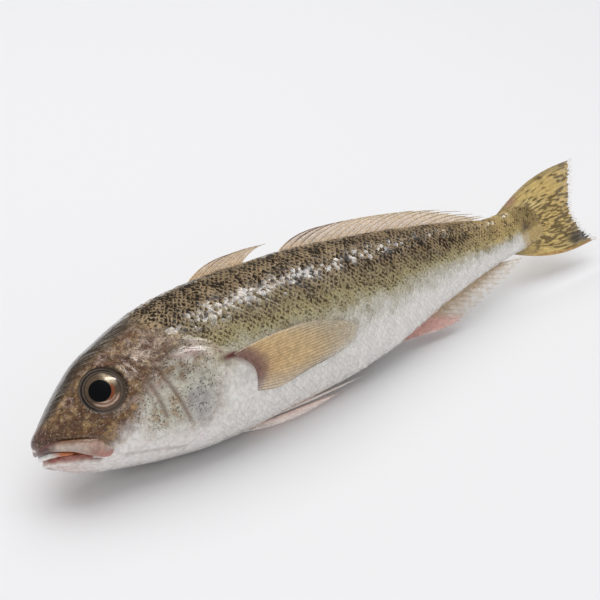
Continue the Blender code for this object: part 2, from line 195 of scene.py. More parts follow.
class FishColours(bpy.types.PropertyGroup):
    back_dark: colour_setting("Back dark", "Dark flecks on the back", (0.016, 0.009, 0.004))
    back_tan: colour_setting("Back tan", "Ground colour of the back", (0.40, 0.295, 0.175))
    upper_flank: colour_setting("Upper flank", "Brown olive under the back", (0.41, 0.33, 0.185))
    olive: colour_setting("Olive", "Pale olive of the middle flank", (0.49, 0.42, 0.205))
    belly: colour_setting("Belly", "Silver white of the belly", (0.90, 0.87, 0.83))
    snout: colour_setting("Snout", "Dark brown of the snout and cheek", (0.155, 0.074, 0.036))
    ochre: colour_setting("Ochre", "Light mottles of the snout and cheek", (0.42, 0.27, 0.125))
    crown: colour_setting("Crown", "Dark streaked top of the head", (0.050, 0.033, 0.019))
    gill: colour_setting("Gill cover", "Pale grey green gill cover", (0.62, 0.59, 0.49))
    gill_blue: colour_setting("Gill patch", "Blue grey patch on the gill cover", (0.48, 0.465, 0.485))
    throat: colour_setting("Throat", "White of the jaw and throat", (0.90, 0.85, 0.82))
    flesh: colour_setting("Flesh", "Pink of lips, creases and fin roots", (0.50, 0.22, 0.19))
    fin_root: colour_setting("Fin root", "Purple brown at the root of the flank fins", (0.20, 0.095, 0.095))
    lip: colour_setting("Lip", "Pale pink lip", (0.50, 0.34, 0.28))
    mouth: colour_setting("Mouth", "Orange inside of the mouth", (0.62, 0.21, 0.08))
    pectoral: colour_setting("Pectoral", "Golden tan pectoral fin", (0.76, 0.55, 0.29))
    dorsal: colour_setting("Dorsal", "Tan dorsal fins", (0.82, 0.61, 0.39))
    tail: colour_setting("Tail", "Yellow olive tail", (0.70, 0.51, 0.19))
    spine_red: colour_setting("Fin spine", "Dark red leading spines", (0.16, 0.055, 0.045))
    anal: colour_setting("Anal", "Pink front of the anal fin", (0.84, 0.53, 0.47))


class FishSizes(bpy.types.PropertyGroup):
    scale_step: length_setting("Scale step", "Distance between rings of scales", 0.00120)
    scale_spread: length_setting("Scale spread", "Distance between scales in a ring", 0.00280)
    scale_rise: length_setting("Scale rise", "How far a scale's rear edge stands up", 0.00065)
    web_thickness: length_setting("Web", "Thickness of a fin's web", 0.00030)
    ray_radius: length_setting("Ray", "Radius of a fin ray at its root", 0.00036)
    floor_size: length_setting("Floor", "Side of the floor", 6.0)


def colours():
    return bpy.context.scene.fish_colours


def sizes():
    return bpy.context.scene.fish_sizes


# Shape of the trunk

def blend(points, column, places):
    """Smooth curve through one column of a list whose first column is the place."""
    points = np.asarray(points, float)
    places = np.asarray(places, float)
    xs = points[:, 0]
    ys = points[:, column]
    before = np.clip(np.arange(len(xs)) - 1, 0, None)
    after = np.clip(np.arange(len(xs)) + 1, None, len(xs) - 1)
    slopes = (ys[after] - ys[before]) / (xs[after] - xs[before])
    left = np.clip(np.searchsorted(xs, places, side="right") - 1, 0, len(xs) - 2)
    span = xs[left + 1] - xs[left]
    t = np.clip((places - xs[left]) / span, 0.0, 1.0)
    return (
        (2 * t**3 - 3 * t**2 + 1) * ys[left]
        + (t**3 - 2 * t**2 + t) * span * slopes[left]
        + (3 * t**2 - 2 * t**3) * ys[left + 1]
        + (t**3 - t**2) * span * slopes[left + 1]
    )


def section(x):
    return [blend(STATIONS, column, x) for column in (1, 2, 3, 4)]


def trunk_points(x, turn):
    """Points of the trunk in the fish's frame; turn runs from the right side up."""
    back, belly, width, middle = section(x)
    across = np.cos(turn)
    upward = np.sin(turn)
    power = 2.0 / SECTION_POWER
    height = np.where(upward > 0, back - middle, middle - belly)
    y = width * np.sign(across) * np.abs(across) ** power
    z = middle + height * np.sign(upward) * np.abs(upward) ** power
    return np.stack([x + 0.0 * turn, y, z], axis=-1)


def trunk_normals(x, turn):
    step = 0.01
    along = trunk_points(x + step, turn) - trunk_points(np.maximum(x - step, 0.0), turn)
    around = trunk_points(x, turn + step) - trunk_points(x, turn - step)
    normals = np.cross(around, along)
    lengths = np.linalg.norm(normals, axis=-1, keepdims=True)
    return normals / np.maximum(lengths, 1e-12)


def turn_at(x, z, side):
    back, belly, _, middle = section(x)
    height = np.where(z > middle, back - middle, middle - belly)
    share = np.clip(np.abs(z - middle) / height, 0.0, 1.0) ** (SECTION_POWER / 2.0)
    turn = np.sign(z - middle) * np.arcsin(share)
    return turn if side == RIGHT else math.pi - turn


def skin_points(x, z, side, lift=0.0):
    x = np.asarray(x, float)
    z = np.asarray(z, float)
    turn = turn_at(x, z, side)
    lift = np.asarray(lift, float)[..., None]
    return trunk_points(x, turn) + trunk_normals(x, turn) * lift


def half_turns(x, shares):
    """Turns of the right half at shares of its girth from the belly up, and the girth."""
    turns = np.linspace(-math.pi / 2.0, math.pi / 2.0, 361)
    line = trunk_points(np.full_like(turns, x), turns)
    steps = np.linalg.norm(np.diff(line, axis=0), axis=1)
    length = np.concatenate([[0.0], np.cumsum(steps)])
    return np.interp(shares * length[-1], length, turns), length[-1]


def rolled(points):
    """Turns points of the fish's own frame onto its right side."""
    x, y, z = np.moveaxis(np.asarray(points, float), -1, 0)
    sine = math.sin(ROLL)
    cosine = math.cos(ROLL)
    return np.stack([x, z * sine + y * cosine, z * cosine - y * sine], axis=-1)


def eye_place():
    low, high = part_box("eye_left")
    return (np.array(low) + np.array(high)) / 2.0


ORIGIN = eye_place() - rolled((EYE_CENTRE[0], LEFT * EYE_CENTRE[1], EYE_CENTRE[2])) * MM


def in_row(points):
    """Points of the fish's frame in millimetres, as metres where the fish lies."""
    return rolled(points) * MM + ORIGIN


def over_table(points, clearance):
    """Lifts points of the fish's frame, in millimetres, that would lie in the table."""
    height = in_row(points)[..., 2] / MM
    missing = np.maximum(clearance - height, 0.0)[..., None]
    up = np.array([0.0, -math.sin(ROLL), math.cos(ROLL)])
    return points + up * missing


def ramp(value, low, high):
    t = np.clip((value - low) / (high - low), 0.0, 1.0)
    return t * t * (3.0 - 2.0 * t)


def bell(value, middle, width):
    return np.exp(-((value - middle) / width) ** 2)


def wobble(points, size, seed):
    """Smooth noise from -1 to 1 at each point of the fish's frame."""
    shift = Vector((seed * 17.3, seed * 5.1, seed * 9.7))
    return np.array([noise.noise(Vector(p) / size + shift) for p in points])


def smooth_line(points, count):
    """A curve through (x, z) points, evenly spaced along their own run."""
    points = np.asarray(points, float)
    run = np.concatenate([[0.0], np.cumsum(np.linalg.norm(np.diff(points, axis=0), axis=1))])
    table = np.column_stack([run, points])
    places = np.linspace(0.0, run[-1], count)
    return blend(table, 1, places), blend(table, 2, places)


def distance_to(points, line):
    best = np.full(len(points), 1e9)
    for spot in line:
        best = np.minimum(best, np.linalg.norm(points - spot, axis=1))
    return best


def away_from(points, line, side, count):
    """Distance from a curve drawn on one flank through (x, z) points."""
    line_x, line_z = smooth_line(line, count)
    return distance_to(points, skin_points(line_x, line_z, side))


# Colour of each place on the fish

def mix_colours(base, colour, weight):
    return base + (np.array(colour) - base) * np.asarray(weight)[:, None]


def layered(base, *layers):
    """Lays (colour, weight) pairs over a colour, in order."""
    tint = np.array(base)
    for colour, weight in layers:
        tint = mix_colours(tint, colour, weight)
    return tint


def paint(x, share, points):
    """Ground colour, and the strength of flecks, streaks, fine dots and pebbles, over the fish."""
    tones = colours()
    large = wobble(points, 14.0, 1)
    small = wobble(points, 4.6, 2)
    fine = wobble(points, 1.8, 5)
    mixed = small + fine
    s = share + 0.04 * large + 0.03 * small
    back_from = np.interp(x, (0.0, 60.0, 110.0, 170.0, 230.0), (0.64, 0.70, 0.67, 0.63, 0.60))
    flank_from = back_from - 0.10
    olive_from = np.interp(x, (0.0, 60.0, 120.0, 170.0, 240.0), (0.46, 0.50, 0.47, 0.45, 0.41))
    back = ramp(s, back_from - 0.05, back_from + 0.05)
    flank = ramp(s, flank_from - 0.05, flank_from + 0.05)
    olive = ramp(s, olive_from - 0.04, olive_from + 0.10)
    grey = ramp(s + 0.05 * fine, olive_from - 0.16, olive_from + 0.02)
    yellow = ramp(x, 190.0, 245.0) * ramp(share + 0.02 * small, 0.36, 0.46)
    blotch = ramp(wobble(points, 8.0, 8) + 0.5 * small, 0.10, 0.50) * bell(share, olive_from - 0.01, 0.055)
    warm = ramp(small + 0.6 * fine, -0.1, 0.5) * back
    hind = ramp(x + 5.0 * small, 245.0, 257.0)
    hind_tint = layered((0.40, 0.29, 0.12), ((0.60, 0.44, 0.19), 1.0 - ramp(share, 0.30, 0.42)))
    body_tint = layered(
        tones.belly,
        ((0.56, 0.52, 0.40), 0.85 * grey),
        (tones.olive, olive),
        (tones.upper_flank, flank),
        (tones.back_tan, back),
        (tones.tail, 0.65 * yellow),
        ((0.27, 0.22, 0.08), 0.65 * blotch),
        ((0.30, 0.18, 0.085), 0.40 * warm),
        (hind_tint, hind),
        ((0.10, 0.07, 0.065), 0.80 * bell(x, 255.0, 3.0) * bell(share, 0.44, 0.08)),
    )

    limit = np.interp(share, (0.60, 0.75), (61.0, 50.0))
    head = 1.0 - ramp(x + 6.0 * large, limit - 7.0, limit + 7.0)
    brown_from = np.interp(
        x, (0.0, 10.0, 20.0, 30.0, 40.0, 50.0, 62.0), (0.50, 0.39, 0.32, 0.385, 0.53, 0.58, 0.63)
    )
    brown = ramp(s + 0.03 * fine, brown_from - 0.07, brown_from + 0.06)
    cover = ramp(x, 27.0, 40.0) * ramp(s, 0.22, 0.34)
    pale = layered(tones.gill, (tones.ochre, 0.6 * ramp(mixed, -0.1, 0.6)))
    patch = ramp(bell(x, 55.5, 7.5) * bell(share, 0.37, 0.12) + 0.30 * fine + 0.15 * small, 0.15, 1.0)
    rosy = ramp(wobble(points, 3.0, 6), 0.05, 0.5) * ramp(x, 16.0, 30.0)
    dark = layered(
        tones.snout,
        (tones.ochre, ramp(0.8 * small + 0.8 * fine, -0.30, 0.60)),
        ((0.52, 0.39, 0.32), 0.55 * rosy),
    )
    above_gill = bell(x, 51.0, 8.0) * bell(share, 0.53, 0.06) * ramp(small + 0.5 * fine, -0.6, 0.2)
    rosy_cheek = bell(x, 42.0, 4.0) * bell(share, 0.50, 0.06) * ramp(mixed, -0.6, 0.3)
    dull = bell(x, 61.0, 8.0) * bell(share, 0.44, 0.07) * ramp(mixed, -0.7, 0.3)
    # Pale streak on the nape: partly pale skin, partly painted highlight where the wet sheen runs along the
    # back
    nape_pale_and_sheen = bell(x, 44.0, 11.0) * bell(share, 0.69, 0.06) * ramp(mixed, -0.3, 0.5)
    crown = ramp(share + 0.02 * small, 0.80, 0.89) * ramp(x, 2.0, 8.0)
    chin = bell(x, 4.0, 9.0) * ramp(-share + 0.06 * fine, -0.50, -0.30)
    tip = (1.0 - ramp(x, 2.5, 7.0)) * ramp(share, 0.22, 0.32)
    head_tint = layered(
        tones.throat,
        (pale, cover),
        (tones.gill_blue, 0.70 * patch),
        (dark, brown),
        (tones.snout, 0.55 * above_gill),
        ((0.54, 0.46, 0.44), 0.55 * rosy_cheek),
        ((0.26, 0.23, 0.18), 0.60 * dull),
        ((0.62, 0.49, 0.41), 0.80 * nape_pale_and_sheen),
        (tones.crown, crown),
        # Pink patch on the top of the gill fold: partly pink flesh, partly painted highlight
        ((0.60, 0.43, 0.42), 0.70 * (bell(x, 59.0, 5.0) * bell(share, 0.585, 0.03))),
        ((0.60, 0.36, 0.30), 0.55 * chin),
        ((0.12, 0.06, 0.06), 0.8 * tip),
    )

    flecks = np.clip(back + 0.66 * flank * (1.0 - back) + 0.22 * olive * (1.0 - flank), 0.0, 1.0)
    flecks *= (1.0 - 0.6 * head) * (1.0 - 0.50 * ramp(x, 190.0, 240.0))
    dots = (0.45 * olive + 0.55 * grey) * (1.0 - back) + head * (0.7 * brown + 0.9 * cover) * (1.0 - crown)
    pebbles = head * brown * (1.0 - crown)
    marks = np.stack([flecks, crown * head, np.clip(dots, 0.0, 1.0), pebbles], axis=-1)
    return np.clip(mix_colours(body_tint, head_tint, head), 0.0, 1.0), marks


# Meshes and materials

def new_piece(name, points, faces, material, slot, nodes, smooth=True):
    mesh = bpy.data.meshes.new(name)
    mesh.from_pydata([tuple(p) for p in points], [], faces)
    mesh.update()
    if material:
        mesh.materials.append(material)
    if smooth:
        mesh.shade_smooth()
    piece = bpy.data.objects.new(name, mesh)
    bpy.context.scene.collection.objects.link(piece)
    if slot:
        register_piece(piece, nodes)
    return piece


def register_piece(piece, nodes):
    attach(piece, BODY)
    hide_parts(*nodes)


def point_data(mesh, name, kind, field, values):
    """Stores one value for each point under a name that a node tree or a material reads."""
    attribute = mesh.attributes.new(name, kind, "POINT")
    attribute.data.foreach_set(field, np.asarray(values, float).ravel())


def colour_attribute(mesh, name, values):
    values = np.asarray(values, float)
    if values.shape[1] == 3:
        values = np.column_stack([values, np.ones(len(values))])
    point_data(mesh, name, "FLOAT_COLOR", "color", values)


def point_uv(mesh, name, values):
    layer = mesh.uv_layers.new(name=name)
    corners = np.empty(len(mesh.loops), dtype=np.int32)
    mesh.loops.foreach_get("vertex_index", corners)
    layer.data.foreach_set("uv", np.asarray(values, float)[corners].ravel())


def grid_faces(rows, columns, closed=False):
    """Quads of a grid of rows by columns points, wrapped round if closed."""
    faces = []
    last = columns if closed else columns - 1
    for i in range(rows - 1):
        for j in range(last):
            k = (j + 1) % columns
            faces.append((i * columns + j, i * columns + k, (i + 1) * columns + k, (i + 1) * columns + j))
    return faces


def node(tree, kind, inputs=None, **settings):
    made = tree.nodes.new(kind)
    for key, value in settings.items():
        setattr(made, key, value)
    for key, value in (inputs or {}).items():
        socket = made.inputs[key]
        if isinstance(value, bpy.types.NodeSocket):
            tree.links.new(value, socket)
        else:
            socket.default_value = value
    return made


def maths(tree, operation, first, second=0.0, clamp=False):
    made = node(tree, "ShaderNodeMath", {0: first, 1: second}, operation=operation, use_clamp=clamp)
    return made.outputs[0]


def plus(tree, first, second):
    return maths(tree, "ADD", first, second)


def minus(tree, first, second):
    return maths(tree, "SUBTRACT", first, second)


def times(tree, first, second):
    return maths(tree, "MULTIPLY", first, second)


def scaled(tree, vector, factor):
    """A vector or a colour times a factor."""
    return node(tree, "ShaderNodeVectorMath", {0: vector, "Scale": factor}, operation="SCALE").outputs[0]


def mix_rgb(tree, factor, first, second):
    made = node(tree, "ShaderNodeMix", data_type="RGBA", clamp_factor=True)
    for index, value in ((0, factor), (6, first), (7, second)):
        if isinstance(value, bpy.types.NodeSocket):
            tree.links.new(value, made.inputs[index])
        else:
            made.inputs[index].default_value = (*value, 1.0) if index > 0 else value
    return made.outputs[2]


def steps(tree, value, low, high, to_low=0.0, to_high=1.0):
    made = node(
        tree, "ShaderNodeMapRange",
        {0: value, 1: low, 2: high, 3: to_low, 4: to_high},
        interpolation_type="SMOOTHSTEP",
    )
    return made.outputs[0]


def new_group(name, inputs, outputs):
    group = bpy.data.node_groups.new(name, "ShaderNodeTree")
    for label, kind, default in inputs:
        socket = group.interface.new_socket(name=label, in_out="INPUT", socket_type=kind)
        socket.default_value = default
    for label, kind in outputs:
        group.interface.new_socket(name=label, in_out="OUTPUT", socket_type=kind)
    entry = group.nodes.new("NodeGroupInput")
    end = group.nodes.new("NodeGroupOutput")
    return group, entry, end


def millimetres(tree):
    """Object coordinates in millimetres."""
    return scaled(tree, node(tree, "ShaderNodeTexCoord").outputs["Object"], 1.0 / MM)


def noise_value(tree, place, size, detail=2.0, roughness=0.5):
    return node(
        tree, "ShaderNodeTexNoise",
        {"Vector": place, "Scale": 1.0 / size, "Detail": detail, "Roughness": roughness},
    ).outputs[0]


def wet_film_group():
    """Fine ripples of a wet film, and the patchy gloss that they give."""
    found = bpy.data.node_groups.get("wet_film")
    if found:
        return found
    group, entry, end = new_group(
        "wet_film",
        (
            ("Dry Roughness", "NodeSocketFloat", 0.45),
            ("Wet Roughness", "NodeSocketFloat", 0.15),
            ("Grain", "NodeSocketFloat", 1.0),
        ),
        (("Roughness", "NodeSocketFloat"), ("Height", "NodeSocketFloat")),
    )
    place = millimetres(group)
    patches = noise_value(group, place, 5.0, 3.0)
    wet = steps(group, patches, 0.42, 0.60)
    dry_share = minus(group, 1.0, wet)
    wet_part = times(group, wet, entry.outputs["Wet Roughness"])
    dry_part = times(group, dry_share, entry.outputs["Dry Roughness"])
    group.links.new(plus(group, wet_part, dry_part), end.inputs["Roughness"])
    grain = noise_value(group, place, 0.5, 3.0, 0.6)
    ripple = noise_value(group, place, 2.2, 2.0)
    height = plus(group, times(group, grain, 0.35), times(group, ripple, 0.65))
    group.links.new(times(group, height, entry.outputs["Grain"]), end.inputs["Height"])
    return group


def freckles_group():
    """Fine dark pigment dots and soft mottling that change from place to place."""
    found = bpy.data.node_groups.get("freckles")
    if found:
        return found
    group, entry, end = new_group(
        "freckles",
        (
            ("Colour", "NodeSocketColor", (1.0, 1.0, 1.0, 1.0)),
            ("Dot Colour", "NodeSocketColor", (0.05, 0.03, 0.02, 1.0)),
            ("Amount", "NodeSocketFloat", 1.0),
            ("Dot Size", "NodeSocketFloat", 0.45),
            ("Mottle", "NodeSocketFloat", 0.3),
        ),
        (("Colour", "NodeSocketColor"),),
    )
    place = millimetres(group)
    cells = node(group, "ShaderNodeTexNoise", {"Vector": place, "Detail": 1.5, "Roughness": 0.6})
    group.links.new(maths(group, "DIVIDE", 1.0, entry.outputs["Dot Size"]), cells.inputs["Scale"])
    patches = noise_value(group, place, 3.2, 2.0)
    level = plus(group, cells.outputs[0], times(group, patches, 0.30))
    dots = steps(group, level, 0.70, 0.80)
    dots = times(group, dots, entry.outputs["Amount"])
    dot_share = times(group, dots, 0.8)
    speckled = mix_rgb(group, dot_share, entry.outputs["Colour"], entry.outputs["Dot Colour"])
    cloud = steps(group, noise_value(group, place, 1.6, 3.0, 0.6), 0.35, 0.65, -1.0, 1.0)
    gain = plus(group, 1.0, times(group, cloud, entry.outputs["Mottle"]))
    group.links.new(scaled(group, speckled, gain), end.inputs["Colour"])
    return group


def use_group(tree, group, inputs):
    return node(tree, "ShaderNodeGroup", inputs, node_tree=group)


def wet_film(tree, shader, dry, wet):
    """Gives a material the patchy gloss of a wet film, and returns the film's height."""
    film = use_group(tree, wet_film_group(), {"Dry Roughness": dry, "Wet Roughness": wet})
    tree.links.new(film.outputs["Roughness"], shader.inputs["Roughness"])
    return film.outputs["Height"]


def new_material(name, roughness=0.4, coat=0.0, coat_roughness=0.08, subsurface=0.0):
    material = bpy.data.materials.new(name)
    material.use_nodes = True
    tree = material.node_tree
    shader = tree.nodes["Principled BSDF"]
    shader.inputs["Roughness"].default_value = roughness
    shader.inputs["Coat Weight"].default_value = coat
    shader.inputs["Coat Roughness"].default_value = coat_roughness
    shader.inputs["Coat IOR"].default_value = 1.35
    shader.inputs["Subsurface Weight"].default_value = subsurface
    shader.inputs["Subsurface Radius"].default_value = (1.0, 0.4, 0.25)
    shader.inputs["Subsurface Scale"].default_value = 1.5 * MM
    return material, tree, shader


def bump(tree, shader, height, distance):
    made = node(tree, "ShaderNodeBump", {"Height": height, "Distance": distance, "Strength": 1.0})
    tree.links.new(made.outputs[0], shader.inputs["Normal"])


def attribute(tree, name):
    return node(tree, "ShaderNodeAttribute", attribute_name=name)


def skin_material():
    material, tree, shader = new_material("wet_skin", coat=0.8, coat_roughness=0.07, subsurface=0.06)
    tones = colours()
    tint = attribute(tree, "tint").outputs["Color"]
    marks = node(tree, "ShaderNodeSeparateColor", {0: attribute(tree, "marks").outputs["Color"]})
    pebbly = attribute(tree, "marks").outputs["Alpha"]
    place = millimetres(tree)
    flow = node(tree, "ShaderNodeUVMap", uv_map="flow").outputs[0]
    stretched = node(tree, "ShaderNodeMapping", {"Vector": flow, "Scale": (12.0, 130.0, 1.0)}).outputs[0]
    streaks = node(tree, "ShaderNodeTexNoise", {"Vector": stretched, "Scale": 1.0, "Detail": 3.0}).outputs[0]
    streaks = steps(tree, streaks, 0.49, 0.60)
    streaked = mix_rgb(tree, times(tree, marks.outputs[1], streaks), tint, (0.22, 0.185, 0.15))
    fleck = steps(tree, noise_value(tree, place, 1.1, 2.5, 0.6), 0.47, 0.56)
    fleck = times(tree, fleck, marks.outputs[0])
    flecked = mix_rgb(tree, times(tree, fleck, 0.90), streaked, tuple(tones.back_dark))
    blotches = steps(tree, noise_value(tree, place, 1.7, 3.0, 0.65), 0.50, 0.60)
    blotches = times(tree, times(tree, blotches, pebbly), 0.45)
    blotched = mix_rgb(tree, blotches, flecked, (0.085, 0.045, 0.022))
    pale = steps(tree, noise_value(tree, place, 0.8, 2.0, 0.6), 0.58, 0.66)
    pale = times(tree, times(tree, pale, pebbly), 0.55)
    pebbled = mix_rgb(tree, pale, blotched, (0.50, 0.38, 0.29))
    freckles = use_group(tree, freckles_group(), {
        "Colour": pebbled, "Dot Colour": (0.08, 0.055, 0.04, 1.0), "Amount": marks.outputs[2],
        "Dot Size": 0.62, "Mottle": 0.12,
    })
    tree.links.new(freckles.outputs[0], shader.inputs["Base Color"])
    film = wet_film(tree, shader, 0.36, 0.18)
    ridges = times(tree, streaks, times(tree, marks.outputs[1], 0.6))
    pebbles = times(tree, noise_value(tree, place, 1.0, 1.5), times(tree, pebbly, 3.4))
    height = plus(tree, plus(tree, film, ridges), pebbles)
    bump(tree, shader, height, 0.17 * MM)
    return material


def scale_material():
    """Wet scales: tan to silver, with dark pigment that runs together from scale to scale."""
    material, tree, shader = new_material("wet_scales", coat=0.9, coat_roughness=0.12, subsurface=0.0)
    tones = colours()
    tint = attribute(tree, "tint").outputs["Color"]
    marks = node(tree, "ShaderNodeSeparateColor", {0: attribute(tree, "marks").outputs["Color"]})
    chance = attribute(tree, "chance").outputs["Fac"]
    plate = node(tree, "ShaderNodeSeparateXYZ", {0: attribute(tree, "plate").outputs["Vector"]})
    along = times(tree, minus(tree, plate.outputs[0], 0.15), 1.5)
    radius = maths(tree, "SQRT", plus(
        tree, times(tree, plate.outputs[1], plate.outputs[1]), times(tree, along, along)
    ))
    place = millimetres(tree)
    ragged = noise_value(tree, place, 0.95, 4.0, 0.75)
    clusters = noise_value(tree, place, 6.5, 2.0)
    level = plus(tree, ragged, times(tree, minus(tree, chance, 0.5), 0.22))
    level = plus(tree, level, times(tree, minus(tree, clusters, 0.5), 0.45))
    level = plus(tree, level, times(tree, minus(tree, 0.58, radius), 0.32))
    level = plus(tree, level, times(tree, minus(tree, marks.outputs[0], 1.0), 0.26))
    coloured = steps(tree, marks.outputs[0], 0.03, 0.15)
    halo = times(tree, steps(tree, level, 0.30, 0.44), times(tree, coloured, 0.62))
    depth = plus(tree, 0.42, times(tree, marks.outputs[0], 0.56))
    core = times(tree, steps(tree, level, 0.41, 0.50), times(tree, coloured, depth))
    light = plus(tree, 0.93, times(tree, chance, 0.16))
    # Painted shade: each scale is darker towards its rim, where it overlaps the next
    edge = times(tree, steps(tree, radius, 0.70, 1.0), 0.16)
    light = minus(tree, light, edge)
    dull = times(tree, minus(tree, chance, 0.5), 0.35)
    light = plus(tree, light, times(tree, dull, marks.outputs[0]))
    haloed = mix_rgb(tree, halo, scaled(tree, tint, light), (0.105, 0.066, 0.028))
    flecked = mix_rgb(tree, core, haloed, tuple(tones.back_dark))
    freckles = use_group(tree, freckles_group(), {
        "Colour": flecked, "Amount": marks.outputs[2], "Dot Size": 0.7, "Mottle": 0.04,
    })
    tree.links.new(freckles.outputs[0], shader.inputs["Base Color"])
    bump(tree, shader, wet_film(tree, shader, 0.34, 0.20), 0.06 * MM)
    return material


def flesh_material(name, roughness=0.25):
    """Wet bare flesh, coloured by the piece's own tint."""
    material, tree, shader = new_material(name, coat=0.6, coat_roughness=0.06, subsurface=0.15)
    freckles = use_group(tree, freckles_group(), {
        "Colour": attribute(tree, "tint").outputs["Color"], "Dot Colour": (0.30, 0.10, 0.08, 1.0),
        "Amount": 0.18, "Dot Size": 0.6, "Mottle": 0.14,
    })
    tree.links.new(freckles.outputs[0], shader.inputs["Base Color"])
    bump(tree, shader, wet_film(tree, shader, roughness + 0.12, roughness), 0.10 * MM)
    return material


def web_material(name, glow):
    """Thin wet web between fin rays, as see-through as each fin's own opacity says."""
    material, tree, shader = new_material(name, roughness=0.3, coat=0.4, subsurface=0.0)
    # Painted glow: the web gives off light in its own colour, in place of light that comes through it
    shader.inputs["Emission Strength"].default_value = glow
    place = millimetres(tree)
    colour = use_group(tree, freckles_group(), {
        "Colour": attribute(tree, "tint").outputs["Color"], "Amount": 0.25, "Dot Size": 0.7, "Mottle": 0.14,
    }).outputs[0]
    tree.links.new(colour, shader.inputs["Base Color"])
    tree.links.new(colour, shader.inputs["Emission Color"])
    thin = steps(tree, noise_value(tree, place, 2.5, 2.0), 0.3, 0.7, -0.10, 0.10)
    opacity = attribute(tree, "opacity").outputs["Fac"]
    tree.links.new(maths(tree, "ADD", opacity, thin, clamp=True), shader.inputs["Alpha"])
    bump(tree, shader, wet_film(tree, shader, 0.40, 0.22), 0.06 * MM)
    return material


def ray_material(name):
    """Horny fin ray with faint cross joints."""
    material, tree, shader = new_material(name, roughness=0.28, coat=0.4)
    place = millimetres(tree)
    joints = steps(tree, noise_value(tree, place, 0.7, 1.0), 0.40, 0.60, 0.82, 1.12)
    shaded = scaled(tree, attribute(tree, "tint").outputs["Color"], joints)
    tree.links.new(shaded, shader.inputs["Base Color"])
    wet_film(tree, shader, 0.36, 0.20)
    return material


def shared_material(name, make, *values):
    return bpy.data.materials.get(name) or make(name, *values)


# Skin

def ring_places():
    """Distances from the snout of the skin's rings, closest together at the snout."""
    places = [0.0]
    while places[-1] < SKIN_END:
        x = places[-1]
        step = min(0.08 + 0.07 * x, 0.40)
        if x > 74.0:
            step = 0.40 + 0.72 * min((x - 74.0) / 22.0, 1.0)
        places.append(x + step)
    places[-1] = SKIN_END
    return np.array(places)


def head_relief(points, x):
    """Height of the head's folds over the plain trunk, how bare and how open it is, and the painted shade in
    its creases, pores, nostril and jaw slit.
    """
    lift = np.zeros(len(points))
    bare = np.zeros(len(points))
    crease_shade = np.zeros(len(points))
    side_z = points[:, 2]
    near = x < 84.0
    edge_z = np.array([p[1] for p in GILL_EDGE])
    edge_x = np.interp(side_z, edge_z, [p[0] for p in GILL_EDGE])
    ahead = (edge_x - x) * 0.85
    within = ramp(side_z, -26.0, -22.0) * (1.0 - ramp(side_z, 5.0, 10.0)) * near
    cover = np.where(ahead > 0, np.exp(-(ahead / 9.0) ** 2), 0.0) * 0.50
    behind = np.where(ahead <= 0, np.exp(-(ahead / 3.0) ** 2), 0.0) * -0.35
    across = ramp(ahead, -0.7, 0.7)
    lift += within * (cover * across + behind * (1.0 - across))
    bare += within * 0.16 * bell(ahead, -0.3, 1.8)
    for side in (LEFT, RIGHT):
        on_side = near & (points[:, 1] * side > -2.0)
        index = np.nonzero(on_side)[0]
        spots = points[index]
        for line, width, depth in CREASES:
            away = away_from(spots, line, side, 60)
            lift[index] -= depth * bell(away, 0.0, width)
            lift[index] += 0.35 * depth * bell(away, 2.2 * width, width)
            crease_shade[index] += 1.5 * depth * bell(away, 0.0, width * 1.2)
        away = away_from(spots, JAW_SLIT, side, 60)
        deep = ramp(x[index], 3.0, 6.0) * (1.0 - ramp(x[index], 14.0, 22.0))
        lift[index] -= 1.1 * bell(away, 0.0, 0.8) * deep
        crease_shade[index] += 1.5 * bell(away, 0.0, 0.75) * deep
        eye = skin_points(*EYE_SPOT, side)
        away = np.linalg.norm(spots - eye, axis=1)
        lift[index] -= 5.2 * (1.0 - ramp(away, 5.8, 8.2))
        lift[index] += 0.40 * bell(away, 9.0, 0.8)
        lift[index] -= 0.20 * bell(away, 11.0, 1.0)
        for number, (pore_x, pore_z) in enumerate((NOSTRIL, *PORES)):
            hole = skin_points(pore_x, pore_z, side)
            away = np.linalg.norm(spots - hole, axis=1)
            size = 1.15 if number == 0 else 0.9 if number < 3 else 0.6
            lift[index] += 0.30 * size * bell(away, 1.35 * size, 0.35)
            lift[index] -= 0.55 * size * (1.0 - ramp(away, 0.5 * size, 1.1 * size))
            crease_shade[index] += 0.75 * (1.0 - ramp(away, 0.4 * size, 1.0 * size))
            bare[index] += 0.40 * bell(away, 1.35 * size, 0.40) * (number < 2)
        root = skin_points(*FIN_SHOULDER, side)
        away = np.linalg.norm(spots - root, axis=1)
        lift[index] += 0.35 * bell(away, 0.0, 9.0)
        for line, height, flesh in GILL_FOLDS:
            away = away_from(spots, line, side, 40)
            lift[index] += height * bell(away, 0.0, 1.4)
            bare[index] += flesh * bell(away, 0.0, 1.3)
            lift[index] -= 0.5 * height * bell(away, 2.4, 0.9)
    slit_z = blend(MOUTH_LINE, 1, np.clip(x, 0.0, 14.0))
    away = np.abs(side_z - slit_z)
    gape = np.interp(x, (0.0, 3.0, 11.0, 15.0), (1.5, 1.5, 0.8, 0.2))
    mouth = (1.0 - ramp(away, gape * 0.55, gape + 0.5)) * (1.0 - ramp(x, 13.5, 16.5))
    lift -= 2.4 * mouth
    return lift, bare, np.clip(crease_shade, 0.0, 1.0), mouth


